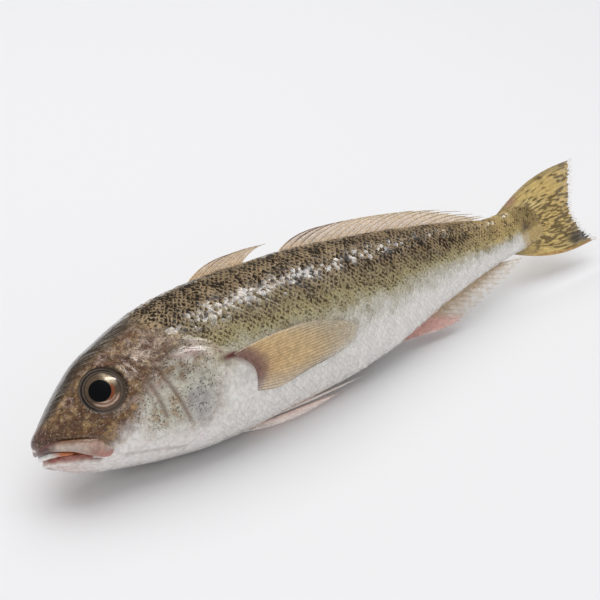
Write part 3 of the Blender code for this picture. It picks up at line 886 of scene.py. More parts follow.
def make_skin():
    tones = colours()
    places = ring_places()
    shares = np.linspace(0.0, 1.0, HALF_COLUMNS + 1)
    xs, turns, girths = [], [], []
    for x in places:
        half, girth = half_turns(x, shares)
        ring = np.concatenate([half, math.pi - half[-2:0:-1]])
        turns.append(ring)
        xs.append(np.full_like(ring, x))
        girths.append(np.full_like(ring, girth))
    columns = 2 * HALF_COLUMNS
    ring_shares = np.concatenate([shares, shares[-2:0:-1]])
    x = np.concatenate(xs)
    turn = np.concatenate(turns)
    girth = np.concatenate(girths)
    share = np.tile(ring_shares, len(places))
    points = trunk_points(x, turn)
    normals = trunk_normals(np.clip(x, 0.02, SKIN_END - 0.02), turn)
    tint, marks = paint(x, share, points)
    lift, bare, crease_shade, mouth = head_relief(points, x)
    lift += 0.10 * wobble(points, 6.0, 3) * ramp(x, 0.0, 8.0)
    lift += 0.22 * wobble(points, 17.0, 4) * ramp(x, 5.0, 20.0)
    tint = mix_colours(tint, (0.62, 0.44, 0.42), np.clip(bare, 0.0, 0.8))
    # Painted shade in the creases, pores, nostril and jaw slit, partly the reddish brown of the grooves
    tint = mix_colours(tint, (0.20, 0.10, 0.065), 0.85 * crease_shade)
    for side in (LEFT, RIGHT):
        eye = skin_points(*EYE_SPOT, side)
        away = np.linalg.norm(points - eye, axis=1)
        # Painted shade in the socket round the eye
        tint = mix_colours(tint, (0.055, 0.040, 0.032), 0.9 * (1.0 - ramp(away, *EYE_SOCKET_SHADE_EDGE)))
        spot = skin_points(*FIN_FLESH, side)
        fleshy = bell(np.linalg.norm((points - spot) / (5.5, 8.0, 8.0), axis=1), 0.0, 1.0)
        tint = mix_colours(tint, (0.76, 0.72, 0.70), 0.8 * fleshy)
        marks[:, :3] *= 1.0 - fleshy[:, None]
        away = away_from(points, FIN_ROOT_BAND, side, 40)
        tint = mix_colours(tint, tones.fin_root, 0.70 * bell(away, 0.0, 1.7))
        # Dark red slot where the gill cover meets the fin: partly its own dark red, partly painted shade of
        # the gap
        slot = skin_points(*FIN_SLOT_RED_AND_SHADE, side)
        away = np.linalg.norm((points - slot) / (4.0, 2.5, 1.2), axis=1)
        tint = mix_colours(tint, (0.13, 0.025, 0.022), np.exp(-away ** 3))
    tint = mix_colours(tint, tones.mouth, ramp(mouth, 0.12, 0.4))
    marks *= (1.0 - ramp(mouth, 0.1, 0.4))[:, None]
    marks[:, 2] *= 1.0 - crease_shade
    points = points + normals * lift[:, None]
    for ring in (0, len(places) - 1):
        end = slice(ring * columns, (ring + 1) * columns)
        points[end] = points[end].mean(axis=0)
    row = in_row(points)
    row[:, 2] = np.maximum(row[:, 2], 0.0)
    faces = grid_faces(len(places), columns, closed=True)
    piece = new_piece("skin", row, faces, skin_material(), None, ())
    mesh = piece.data
    colour_attribute(mesh, "tint", tint)
    colour_attribute(mesh, "marks", marks)
    point_uv(mesh, "flow", np.stack([x * 0.01, share * girth * 0.01], axis=-1))
    close_ends(mesh)
    register_piece(piece, (FISH,))
    return piece


def close_ends(mesh):
    """Welds the rings that were drawn to a point, and turns the faces outwards."""
    shape = bmesh.new()
    shape.from_mesh(mesh)
    bmesh.ops.remove_doubles(shape, verts=shape.verts, dist=1e-7)
    bmesh.ops.recalc_face_normals(shape, faces=shape.faces)
    shape.to_mesh(mesh)
    shape.free()
    mesh.shade_smooth()


# Scales

SCALE_START = (
    (-28.6, 56.0), (-22.0, 60.0), (-17.5, 74.0), (-13.0, 86.0), (-6.0, 86.0), (-1.0, 81.0),
    (3.0, 73.0), (7.0, 67.0), (18.0, 56.0), (31.0, 46.0),
)


def scale_places(side):
    """Where each scale of one flank sits, which way it faces, and its size."""
    step = sizes().scale_step / MM
    spread = sizes().scale_spread / MM
    chance = np.random.default_rng(5 + side)
    rows = {"x": [], "share": [], "size": [], "girth": []}
    x = SCALES_FROM
    number = 0
    fine = np.linspace(0.0, 1.0, 400)
    while x < SCALES_TO:
        size = np.interp(x, (47.0, 70.0, 110.0, 200.0, 262.0), (0.78, 0.95, 1.05, 0.92, 0.60))
        _, girth = half_turns(x, fine)
        offset = 0.5 * (number % 2)
        count = int(girth / (spread * size)) + 2
        for index in range(-count, count + 1):
            share = 0.5 + (index + offset) * spread * size / girth
            if not 0.012 < share < 0.985:
                continue
            rows["x"].append(x)
            rows["share"].append(share)
            rows["size"].append(size)
            rows["girth"].append(girth)
        x += step * size
        number += 1
    x = np.array(rows["x"])
    share = np.array(rows["share"])
    size = np.array(rows["size"])
    loose = spread * size / np.array(rows["girth"])
    share = np.clip(share + 0.13 * loose * chance.uniform(-1.0, 1.0, len(x)), 0.012, 0.985)
    turn = np.empty_like(x)
    for place in np.unique(x):
        inside = x == place
        turn[inside] = half_turns(place, share[inside])[0]
    points = trunk_points(x, turn)
    start = np.interp(points[:, 2], [p[0] for p in SCALE_START], [p[1] for p in SCALE_START])
    kept = x > start
    x, share, size, turn = x[kept], share[kept], size[kept], turn[kept]
    if side == LEFT:
        turn = math.pi - turn
    x = x + 0.15 * step * size * chance.uniform(-1.0, 1.0, len(x))
    size = size * chance.uniform(0.90, 1.12, len(x))
    points = trunk_points(x, turn)
    normals = trunk_normals(x, turn)
    rear = trunk_points(x + 0.5, turn) - trunk_points(x - 0.5, turn)
    rear /= np.linalg.norm(rear, axis=1, keepdims=True)
    return x, share, size, points, normals, rear


def plate_mesh():
    """One scale: it rises to a round rear rim, with a low wall under the rim."""
    sides = 12
    flat = [(0.2, 0.0)]
    for radius in (0.55, 1.0):
        for index in range(sides):
            angle = 2.0 * math.pi * index / sides
            x = math.cos(angle) * radius
            flat.append((x if x > -0.45 else -0.45 - 0.1 * radius, math.sin(angle) * radius))
    points = [(x, y, 0.06 + 0.26 * x - 0.10 * y * y) for x, y in flat]
    faces = [(0, 1 + index, 1 + (index + 1) % sides) for index in range(sides)]
    for index in range(sides):
        following = (index + 1) % sides
        faces.append((1 + index, 1 + sides + index, 1 + sides + following, 1 + following))
    rim = [index for index in range(-4, 5)]
    wall = len(points)
    for index in rim:
        x, y, z = points[1 + sides + index % sides]
        points.append((x, y, z))
        points.append((x, y, z - 0.32))
    for step in range(len(rim) - 1):
        first = wall + 2 * step
        faces.append((first, first + 1, first + 3, first + 2))
    mesh = bpy.data.meshes.new("scale_plate")
    mesh.from_pydata(points, [], faces)
    point_data(mesh, "plate", "FLOAT_VECTOR", "vector", points)
    plate = bpy.data.objects.new("scale_plate", mesh)
    bpy.context.scene.collection.objects.link(plate)
    mesh.shade_smooth()
    return plate


def new_tree(name, inputs):
    """An empty geometry tree with its inputs; returns it, its given values and its end."""
    tree = bpy.data.node_groups.new(name, "GeometryNodeTree")
    for label, kind, default in (("Geometry", "NodeSocketGeometry", None), *inputs):
        socket = tree.interface.new_socket(name=label, in_out="INPUT", socket_type=kind)
        if default is not None:
            socket.default_value = default
    tree.interface.new_socket(name="Geometry", in_out="OUTPUT", socket_type="NodeSocketGeometry")
    return tree, tree.nodes.new("NodeGroupInput").outputs, tree.nodes.new("NodeGroupOutput")


def named(tree, name, kind):
    return node(tree, "GeometryNodeInputNamedAttribute", {"Name": name}, data_type=kind).outputs["Attribute"]


def finish_tree(tree, shape, given, end):
    """Makes the instances real and gives them the material."""
    real = node(tree, "GeometryNodeRealizeInstances", {0: shape})
    coated = node(tree, "GeometryNodeSetMaterial", {
        "Geometry": real.outputs[0], "Material": given["Material"],
    })
    tree.links.new(coated.outputs[0], end.inputs[0])
    return tree


def scales_tree():
    """Sets a plate on each point, turned by the point's own directions."""
    tree, given, end = new_tree("set_scales", (
        ("Plate", "NodeSocketObject", None), ("Tilt", "NodeSocketFloat", 0.10),
        ("Seed", "NodeSocketInt", 7), ("Material", "NodeSocketMaterial", None),
    ))
    plate = node(tree, "GeometryNodeObjectInfo", {"Object": given["Plate"]})
    facing = node(
        tree, "FunctionNodeAxesToRotation",
        {0: named(tree, "outward", "FLOAT_VECTOR"), 1: named(tree, "rearward", "FLOAT_VECTOR")},
        primary_axis="Z", secondary_axis="X",
    )
    jitter = node(tree, "FunctionNodeRandomValue", {
        "Min": scaled(tree, (-1.0, -1.0, -0.6), given["Tilt"]),
        "Max": scaled(tree, (1.0, 1.0, 0.6), given["Tilt"]),
        "Seed": given["Seed"],
    }, data_type="FLOAT_VECTOR")
    as_turn = node(tree, "FunctionNodeEulerToRotation", {0: jitter.outputs["Value"]})
    turned = node(
        tree, "FunctionNodeRotateRotation",
        {0: facing.outputs[0], 1: as_turn.outputs[0]}, rotation_space="LOCAL",
    )
    placed = node(tree, "GeometryNodeInstanceOnPoints", {
        "Points": given["Geometry"], "Instance": plate.outputs["Geometry"],
        "Rotation": turned.outputs[0], "Scale": named(tree, "plate_size", "FLOAT_VECTOR"),
    })
    chance = node(tree, "FunctionNodeRandomValue", {"Seed": given["Seed"]})
    store = node(tree, "GeometryNodeStoreNamedAttribute", {
        "Name": "chance", "Geometry": placed.outputs[0], "Value": chance.outputs[1],
    }, domain="INSTANCE")
    return finish_tree(tree, store.outputs[0], given, end)


def run_tree(name, holder, tree, values):
    """Runs a node tree on a holder, and keeps its result as a plain mesh."""
    modifier = holder.modifiers.new("grown", "NODES")
    modifier.node_group = tree
    keys = {item.name: item.identifier for item in tree.interface.items_tree if item.in_out == "INPUT"}
    for label, value in values.items():
        modifier[keys[label]] = value
    bpy.context.view_layer.update()
    evaluated = holder.evaluated_get(bpy.context.evaluated_depsgraph_get())
    mesh = bpy.data.meshes.new_from_object(evaluated)
    mesh.name = name
    holder.modifiers.remove(modifier)
    holder.name = name
    old = holder.data
    holder.data = mesh
    bpy.data.meshes.remove(old)
    mesh.shade_smooth()
    return holder


def settle(mesh):
    """Presses what would lie under the table up onto it."""
    flat = np.empty(len(mesh.vertices) * 3)
    mesh.vertices.foreach_get("co", flat)
    flat[2::3] = np.maximum(flat[2::3], 0.02 * MM)
    mesh.vertices.foreach_set("co", flat)
    mesh.update()


def make_scales():
    plate = plate_mesh()
    tree = scales_tree()
    material = scale_material()
    for side, hand in ((LEFT, "left"), (RIGHT, "right")):
        x, share, size, points, normals, rear = scale_places(side)
        tint, marks = paint(x, share, points)
        pressed = 0.22 * wobble(points, 17.0, 4) * ramp(x, 5.0, 20.0) + 0.10 * wobble(points, 6.0, 3)
        from_shoulder = np.linalg.norm(points - skin_points(*SCALE_SHOULDER, side), axis=1)
        edge_lift = 0.9 * bell(from_shoulder, 0.0, 6.5)
        points = points + normals * (pressed + edge_lift)[:, None]
        row = in_row(points)
        above = row[:, 2] > 0.35 * MM
        holder = new_piece("scales_" + hand, row[above], [], None, None, ())
        mesh = holder.data
        for name, values in (("outward", rolled(normals)[above]), ("rearward", rolled(rear)[above])):
            point_data(mesh, name, "FLOAT_VECTOR", "vector", values)
        spread = sizes().scale_spread * size[above] * 0.56
        length = sizes().scale_step * size[above] * 1.45
        rise = sizes().scale_rise * size[above]
        point_data(mesh, "plate_size", "FLOAT_VECTOR", "vector", np.stack([length, spread, rise], axis=-1))
        colour_attribute(mesh, "tint", tint[above])
        colour_attribute(mesh, "marks", marks[above])
        run_tree("scales_" + hand, holder, tree, {"Plate": plate, "Material": material})
        settle(holder.data)
        register_piece(holder, (FISH,))
    bpy.data.objects.remove(plate, do_unlink=True)


# Lips

def lip_line(path, count):
    """A line round the front of the snout at the path's height, from left to right."""
    path = np.asarray(path)
    x = np.concatenate([np.linspace(0.0, 2.0, 400), np.linspace(2.0, path[-1][0], 400)[1:]])
    z = blend(path, 1, x)
    back, belly, width, middle = section(x)
    height = np.where(z > middle, back - middle, middle - belly)
    share = np.abs(z - middle) / height
    inside = share < 1.0
    y = width[inside] * (1.0 - share[inside] ** SECTION_POWER) ** (1.0 / SECTION_POWER)
    line = np.stack([x[inside], y, z[inside]], axis=-1)
    line = np.vstack([[line[0][0], 0.0, line[0][2]], line])
    run = np.concatenate([[0.0], np.cumsum(np.linalg.norm(np.diff(line, axis=0), axis=1))])
    places = np.linspace(0.0, run[-1], count)
    half = np.stack([np.interp(places, run, line[:, k]) for k in range(3)], axis=-1)
    mirrored = half[:0:-1] * np.array([1.0, -1.0, 1.0])
    return np.vstack([mirrored, half])


def make_roll(name, path, heights, depths, outs, tint_at, material, count=64, around=22):
    """A soft roll of flesh round the mouth; heights and depths are by share from front to rear."""
    line = lip_line(path, count)
    for _ in range(3):
        line[1:-1] = (line[:-2] + 2.0 * line[1:-1] + line[2:]) / 4.0
    along = np.gradient(line, axis=0)
    along /= np.linalg.norm(along, axis=1, keepdims=True)
    up = np.tile(np.array([0.35, 0.0, 1.0]), (len(line), 1))
    up -= along * np.sum(up * along, axis=1, keepdims=True)
    up /= np.linalg.norm(up, axis=1, keepdims=True)
    outward = np.cross(along, up)
    centre = np.array([14.0, 0.0, -8.0])
    flip = np.sign(np.sum(outward * (line - centre), axis=1, keepdims=True))
    outward *= np.where(flip == 0, 1.0, flip)
    share = np.abs(np.linspace(-1.0, 1.0, len(line)))
    end = np.sqrt(np.clip(1.0 - np.clip((share - 0.86) / 0.14, 0.0, 1.0) ** 2, 0.0004, 1.0))
    height = np.interp(share, *zip(*heights)) * end
    depth = np.interp(share, *zip(*depths)) * (0.35 + 0.65 * end)
    out = np.interp(share, *zip(*outs))
    angles = np.linspace(0.0, 2.0 * math.pi, around, endpoint=False)
    points = []
    for index in range(len(line)):
        cosine = np.sign(np.cos(angles)) * np.abs(np.cos(angles)) ** 0.85
        sine = np.sign(np.sin(angles)) * np.abs(np.sin(angles)) ** 0.85
        ring = (
            line[index]
            + outward[index] * (depth[index] * cosine[:, None] + out[index])
            + up[index] * height[index] * sine[:, None]
        )
        points.append(ring)
    points = np.vstack(points)
    points += 0.12 * np.stack([wobble(points, 2.6, 11 + k) for k in range(3)], axis=-1)
    first = len(points)
    points = np.vstack([points, points[:around].mean(axis=0), points[-around:].mean(axis=0)])
    faces = grid_faces(len(line), around, closed=True)
    for j in range(around):
        k = (j + 1) % around
        faces.append((first, k, j))
        faces.append((first + 1, first - around + j, first - around + k))
    turn = np.tile(np.sin(angles), len(line))
    share = np.repeat(share, around)
    turn = np.append(turn, (0.0, 0.0))
    share = np.append(share, (1.0, 1.0))
    piece = new_piece(name, in_row(points), faces, material, None, ())
    colour_attribute(piece.data, "tint", tint_at(share, turn, points))
    close_ends(piece.data)
    register_piece(piece, (FISH,))
    return piece


def make_lips():
    tones = colours()
    material = flesh_material("wet_lip", 0.10)

    def upper(share, turn, points):
        cloud = wobble(points, 2.2, 15)
        return layered(
            tones.lip,
            ((0.62, 0.55, 0.48), 0.85 * bell(turn, -0.35, 0.5) * (1.0 - ramp(share, 0.55, 0.8))),
            ((0.22, 0.12, 0.06), 0.90 * ramp(turn + 0.3 * cloud, 0.20, 0.70)),
            ((0.30, 0.21, 0.18), 0.55 * ramp(cloud, 0.0, 0.5) * ramp(share, 0.4, 0.6)),
            (tones.flesh, 0.75 * (ramp(-turn, 0.0, 0.8) * ramp(share, 0.66, 0.86))),
            ((0.60, 0.52, 0.46), 0.9 * (ramp(share + 0.05 * cloud, 0.84, 0.97) * ramp(turn, -0.6, 0.1))),
            ((0.13, 0.065, 0.062), 0.92 * (1.0 - ramp(share + 0.06 * cloud, 0.20, 0.38))),
        )

    def inner(share, turn, points):
        return layered((0.86, 0.83, 0.80), (tones.mouth, ramp(share, 0.40, 0.75)))

    def lower(share, turn, points):
        cloud = wobble(points, 1.8, 16)
        return layered(
            tones.lip,
            (tones.flesh, 0.8 * ramp(turn + 0.5 * cloud, -0.7, 0.4)),
            ((0.34, 0.085, 0.07), 0.8 * ramp(cloud, 0.05, 0.4) * bell(share, 0.3, 0.16)),
            (tones.throat, 0.85 * ramp(-turn + 0.5 * share, 0.1, 0.9)),
        )

    make_roll(
        "upper_lip", UPPER_LIP,
        ((0.0, 1.2), (0.25, 1.5), (0.5, 2.0), (0.75, 3.0), (1.0, 4.0)),
        ((0.0, 0.9), (0.3, 1.0), (0.7, 1.0), (1.0, 0.7)),
        ((0.0, -0.7), (0.25, -0.2), (0.5, 0.0), (0.8, -0.2), (1.0, -0.85)), upper, material,
    )
    make_roll(
        "inner_lip", INNER_LIP, ((0.0, 1.2), (0.5, 0.9), (1.0, 0.5)), ((0.0, 0.9), (1.0, 0.7)),
        ((0.0, -0.9), (0.4, -0.5), (1.0, -0.9)), inner, material,
    )
    make_roll(
        "lower_lip", LOWER_LIP, ((0.0, 1.5), (0.5, 1.8), (1.0, 1.9)), ((0.0, 0.8), (1.0, 0.7)),
        ((0.0, -0.3), (0.4, -0.05), (1.0, -0.45)), lower, material,
    )


# Eyes

EYE_PROFILE = (
    (0.0, 1.55), (1.5, 1.50), (3.0, 1.30), (4.2, 1.02), (5.2, 0.70), (6.2, 0.28), (6.9, -0.08),
    (7.3, -0.30), (7.7, -0.42), (8.1, -0.62), (8.6, -1.30), (8.8, -2.6),
)


# Millimetres across the whole UV map of an eye
EYE_UV_SPAN = 20.0


def offset_from(tree, place, centre):
    return node(tree, "ShaderNodeVectorMath", {0: place, 1: centre}, operation="SUBTRACT").outputs[0]


def eye_material():
    """Black pupil, bronze iris and dark ring under a clear wet cornea."""
    material, tree, shader = new_material("wet_eye", roughness=0.35, coat=1.0, coat_roughness=0.03)
    shader.inputs["Coat IOR"].default_value = 1.50
    shader.inputs["Specular IOR Level"].default_value = 0.08
    flat = node(tree, "ShaderNodeUVMap", uv_map="face").outputs[0]
    centred = offset_from(tree, flat, (0.5, 0.5, 0.0))
    where = scaled(tree, centred, EYE_UV_SPAN)
    pupil_at = offset_from(tree, where, (-1.75, -0.30, 0.0))
    ring_at = offset_from(tree, where, (-0.6, -0.3, 0.0))
    ring_r = node(tree, "ShaderNodeVectorMath", {0: ring_at}, operation="LENGTH").outputs["Value"]
    pupil_r = node(tree, "ShaderNodeVectorMath", {0: pupil_at}, operation="LENGTH").outputs["Value"]
    parts = node(tree, "ShaderNodeSeparateXYZ", {0: pupil_at})
    streaks = noise_value(tree, where, 1.1, 4.0, 0.65)
    around = plus(tree, ring_r, times(tree, streaks, 0.9))
    bands = maths(tree, "SINE", times(tree, around, 5.5))
    bronze = mix_rgb(tree, streaks, (0.045, 0.030, 0.021), (0.22, 0.15, 0.095))
    # Pale gold over the upper rear of the iris: partly its colour, partly painted highlight
    rear = steps(tree, parts.outputs[0], 1.0, 5.0)
    upper = steps(tree, parts.outputs[1], -1.0, 3.0)
    gold_and_highlight = mix_rgb(tree, steps(tree, streaks, 0.35, 0.7), (0.40, 0.29, 0.17), (0.72, 0.62, 0.46))
    iris = mix_rgb(tree, times(tree, rear, upper), bronze, gold_and_highlight)
    low = steps(tree, parts.outputs[1], -2.4, -4.6)
    cream = mix_rgb(tree, steps(tree, bands, -0.4, 0.8), (0.36, 0.20, 0.13), (0.72, 0.55, 0.44))
    iris = mix_rgb(tree, low, iris, cream)
    red_low = times(tree, steps(tree, parts.outputs[1], 1.5, -0.5), steps(tree, pupil_r, 5.4, 4.6))
    red_rear = times(tree, steps(tree, parts.outputs[0], 0.5, 3.0), red_low)
    iris = mix_rgb(tree, times(tree, red_rear, 0.85), iris, (0.32, 0.085, 0.03))
    behind = times(tree, steps(tree, parts.outputs[0], 2.5, 5.5), steps(tree, parts.outputs[1], -2.5, 0.5))
    behind = times(tree, behind, steps(tree, ring_r, 4.9, 6.0))
    iris = mix_rgb(tree, times(tree, behind, 0.85), iris, (0.030, 0.028, 0.032))
    limbus = steps(tree, plus(tree, ring_r, times(tree, streaks, 0.5)), 6.0, 6.7)
    rim = mix_rgb(tree, steps(tree, bands, -0.6, 1.0), (0.018, 0.014, 0.012), (0.105, 0.078, 0.058))
    lit = steps(tree, minus(tree, parts.outputs[0], parts.outputs[1]), -1.0, 6.0)
    rim = mix_rgb(tree, times(tree, lit, 0.35), rim, (0.20, 0.15, 0.11))
    colour = mix_rgb(tree, limbus, iris, rim)
    pupil = steps(tree, pupil_r, 4.0, 3.8)
    colour = mix_rgb(tree, pupil, colour, (0.0005, 0.0010, 0.0022))
    tree.links.new(colour, shader.inputs["Base Color"])
    shine = times(tree, minus(tree, 1.0, pupil), minus(tree, 1.0, limbus))
    tree.links.new(times(tree, shine, 0.30), shader.inputs["Metallic"])
    return material


def make_eyes():
    material = eye_material()
    around = 64
    for side, hand in ((LEFT, "left"), (RIGHT, "right")):
        turn = Matrix.Rotation(side * EYE_TURN_FORWARD, 3, "Z")
        turn = turn @ Matrix.Rotation(side * EYE_TURN_UP, 3, "X")
        outward = np.array(turn @ Vector((0.0, side, 0.0)))
        rearward = np.array(turn @ Vector((1.0, 0.0, 0.0)))
        upward = np.cross(rearward, outward) * (1.0 if side == LEFT else -1.0)
        upward *= np.sign(upward[2])
        place = skin_points(EYE_SPOT[0], EYE_SPOT[1], side)
        points = []
        flat = []
        for radius, height in EYE_PROFILE[1:]:
            for index in range(around):
                angle = 2.0 * math.pi * index / around
                across = math.cos(angle) * radius
                rise = math.sin(angle) * radius
                droop = -0.016 * max(radius - 5.0, 0.0) * across
                points.append(place + outward * (height + droop) + rearward * across + upward * rise)
                flat.append((0.5 + across / EYE_UV_SPAN, 0.5 + rise / EYE_UV_SPAN))
        top = len(points)
        points.append(place + outward * EYE_PROFILE[0][1])
        flat.append((0.5, 0.5))
        points.append(place + outward * (EYE_PROFILE[-1][1] - 0.6))
        flat.append((0.5, 0.5))
        faces = grid_faces(len(EYE_PROFILE) - 1, around, closed=True)
        last = (len(EYE_PROFILE) - 2) * around
        for j in range(around):
            k = (j + 1) % around
            faces.append((top, k, j))
            faces.append((top + 1, last + j, last + k))
        piece = new_piece("eyeball_" + hand, in_row(np.array(points)), faces, material, None, ())
        point_uv(piece.data, "face", flat)
        close_ends(piece.data)
        register_piece(piece, ("eye_" + hand,))


# Fins

# Painted glow that stands in for light coming through a web, and through the thinnest webs
WEB_PAINTED_GLOW = 0.07
THIN_WEB_PAINTED_GLOW = 0.22


def swept_place(starts, tips, crest, bury):
    """Where a fin of the back lies, whose rays lean far back over the trunk."""
    def place(along, outward):
        first = blend(starts, 1, along)
        last = blend(tips, 1, along)
        x = first + (last - first) * outward
        bend = 3.0 - 1.2 * np.clip(along * 5.0, 0.0, 1.0)
        share = 1.0 - (1.0 - np.clip(outward, 0.0, 1.0)) ** bend
        z = section(x)[0] - bury * (1.0 - outward) ** 2 + blend(crest, 1, last) * share
        return np.stack([x, 0.0 * x, z], axis=-1)
    return place


def upright_place(base, edge, bury, side_bend=0.0, bow=0.0):
    """Where a middle fin's point lies, by share along the fin and share out to its edge."""
    def place(along, outward):
        root = np.stack([blend(base, 1, along), 0.0 * along, blend(base, 2, along)], axis=-1)
        tip = np.stack([blend(edge, 1, along), 0.0 * along, blend(edge, 2, along)], axis=-1)
        direction = (tip - root) / np.linalg.norm(tip - root, axis=-1, keepdims=True)
        root = root - direction * bury
        out = outward[..., None]
        point = root * (1.0 - out) + tip * out
        point[..., 1] = -side_bend * outward**2
        point[..., 2] += bow * np.sin(math.pi * np.clip(outward, 0.0, 1.0)) * (1.0 - 2.0 * along)
        return point
    return place


def pectoral_place(side):
    base, edge = PECTORAL
    crown = 1.3

    def place(along, outward):
        x = blend(base, 1, along) * (1.0 - outward) + blend(edge, 1, along) * outward
        z = blend(base, 2, along) * (1.0 - outward) + blend(edge, 2, along) * outward
        z = z + crown * np.sin(math.pi * np.clip(outward, 0.0, 1.0)) * (1.0 - 2.0 * along)
        lift = 0.2 + 1.3 * np.clip(outward * 2.5, 0.0, 1.0) + 0.5 * bell(along, 0.0, 0.25) * outward
        return over_table(skin_points(x, z, side, lift), 0.75)
    return place


def pelvic_place(roots, tips, sag):
    roots = np.array(roots)
    tips = np.array(tips)

    def place(along, outward):
        a = along[..., None]
        t = outward[..., None]
        root = roots[0] * (1.0 - a) + roots[1] * a
        tip = tips[0] * (1.0 - a) + tips[1] * a
        point = root * (1.0 - t) + tip * t
        hang = sag * np.sin(math.pi * np.clip(outward, 0.0, 1.0)) * along
        point[..., 1] -= 0.3 * hang
        point[..., 2] -= hang
        return over_table(point, 0.7)
    return place


def patches(along, outward, across, out, seed):
    """Smooth noise from -1 to 1 over a fin, finer with more cells across and out."""
    return wobble(np.stack([along * across, outward * out, 0.0 * along], axis=-1), 1.0, seed)


def make_web(
    name, place, rays, rows, tint_at, opacity_at, ripple=0.22, notch=0.05, fray=0.0, glow=WEB_PAINTED_GLOW
):
    """The thin skin between a fin's rays, as a closed sheet that dips between them."""
    material = shared_material("fin_web" if glow == WEB_PAINTED_GLOW else "fin_web_lit", web_material, glow)
    columns = rays * 4 + 1
    along, outward = np.meshgrid(np.linspace(0.0, 1.0, columns), np.linspace(0.0, 1.0, rows), indexing="ij")
    between = 0.5 - 0.5 * np.cos(2.0 * math.pi * along * rays)
    torn = np.random.default_rng(rays).uniform(-1.0, 1.0, columns)[:, None]
    out = outward * (1.0 - notch * between + fray * torn * ramp(outward, 0.6, 1.0))
    points = place(along, out)
    d_along = np.gradient(points, axis=0)
    d_out = np.gradient(points, axis=1)
    normals = np.cross(d_along, d_out)
    normals /= np.maximum(np.linalg.norm(normals, axis=-1, keepdims=True), 1e-12)
    wave = ripple * (between - 0.5) * np.clip(outward * 4.0, 0.0, 1.0)
    half = sizes().web_thickness / MM / 2.0 * (1.0 - 0.5 * outward)
    front = points + normals * (wave + half)[..., None]
    back = points + normals * (wave - half)[..., None]
    count = columns * rows
    faces = grid_faces(columns, rows)
    faces += [tuple(count + index for index in reversed(face)) for face in grid_faces(columns, rows)]
    border = [(i, 0) for i in range(columns)] + [(columns - 1, j) for j in range(1, rows)]
    border += [(i, rows - 1) for i in range(columns - 2, -1, -1)]
    border += [(0, j) for j in range(rows - 2, 0, -1)]
    ring = [i * rows + j for i, j in border]
    for index, first in enumerate(ring):
        second = ring[(index + 1) % len(ring)]
        faces.append((second, first, first + count, second + count))
    vertices = np.vstack([front.reshape(-1, 3), back.reshape(-1, 3)])
    piece = new_piece(name, in_row(vertices), faces, material, None, ())
    tint = tint_at(along.ravel(), outward.ravel())
    colour_attribute(piece.data, "tint", np.vstack([tint, tint]))
    opacity = opacity_at(along.ravel(), outward.ravel())
    point_data(piece.data, "opacity", "FLOAT", "value", np.concatenate([opacity, opacity]))
    flat = np.stack([along.ravel(), outward.ravel()], axis=-1)
    point_uv(piece.data, "flow", np.vstack([flat, flat]))
    close_ends(piece.data)
    register_piece(piece, (FISH,))
    return piece


def rays_tree():
    """Gives each line a round section of its own thickness."""
    found = bpy.data.node_groups.get("grow_rays")
    if found:
        return found
    tree, given, end = new_tree(
        "grow_rays", (("Sides", "NodeSocketInt", 6), ("Material", "NodeSocketMaterial", None))
    )
    lines = node(tree, "GeometryNodeMeshToCurve", {0: given["Geometry"]})
    thick = node(tree, "GeometryNodeSetCurveRadius", {
        0: lines.outputs[0], "Radius": named(tree, "thick", "FLOAT"),
    })
    ring = node(tree, "GeometryNodeCurvePrimitiveCircle", {"Radius": 1.0, "Resolution": given["Sides"]})
    tube = node(tree, "GeometryNodeCurveToMesh", {
        "Curve": thick.outputs[0], "Profile Curve": ring.outputs[0], "Fill Caps": True,
    })
    if "Scale" in tube.inputs:
        tree.links.new(named(tree, "thick", "FLOAT"), tube.inputs["Scale"])
    return finish_tree(tree, tube.outputs[0], given, end)


def make_rays(name, place, rays, tint_at, material, branch=0.0, steps_out=14, past=0.02, thick=1.0,
              free=(), ragged=0.0):
    """Fin rays as tapered tubes that follow the web; a branched ray splits past its middle.

    free lists (ray number, extra reach) of rays whose tips stand clear of the web.
    """
    reach = dict(free)
    chance = np.random.default_rng(rays)
    points, edges, radii, tints = [], [], [], []
    for ray in range(rays + 1):
        offsets = (-1.0, 1.0) if branch else (0.0,)
        for offset in offsets:
            longer = past + reach.get(ray, 0.0) + ragged * chance.random()
            t = np.linspace(0.0, 1.0 + longer, steps_out)
            fan = offset * branch / rays * np.clip((t - 0.42) / 0.58, 0.0, 1.0)
            along = np.clip(ray / rays + fan, 0.0, 1.0)
            line = place(along, t)
            first = len(points)
            points.extend(in_row(line))
            edges.extend((first + k, first + k + 1) for k in range(steps_out - 1))
            radii.extend(sizes().ray_radius * thick * (1.0 - 0.78 * t / t[-1]))
            tints.extend(tint_at(along, np.clip(t, 0.0, 1.0)))
    mesh = bpy.data.meshes.new(name)
    mesh.from_pydata([tuple(p) for p in points], edges, [])
    point_data(mesh, "thick", "FLOAT", "value", radii)
    colour_attribute(mesh, "tint", np.array(tints))
    holder = bpy.data.objects.new(name, mesh)
    bpy.context.scene.collection.objects.link(holder)
    run_tree(name, holder, rays_tree(), {"Material": material})
    register_piece(holder, (FISH,))
    return holder


def darker(colour, share):
    return tuple(channel * share for channel in colour)


def fin_tint(base, *layers):
    """Colour over a fin from (weight function, colour) pairs laid over the base colour."""
    def tint(along, outward):
        weighed = [(colour, np.clip(weight(along, outward), 0.0, 1.0)) for weight, colour in layers]
        return layered(base, *weighed)
    return tint


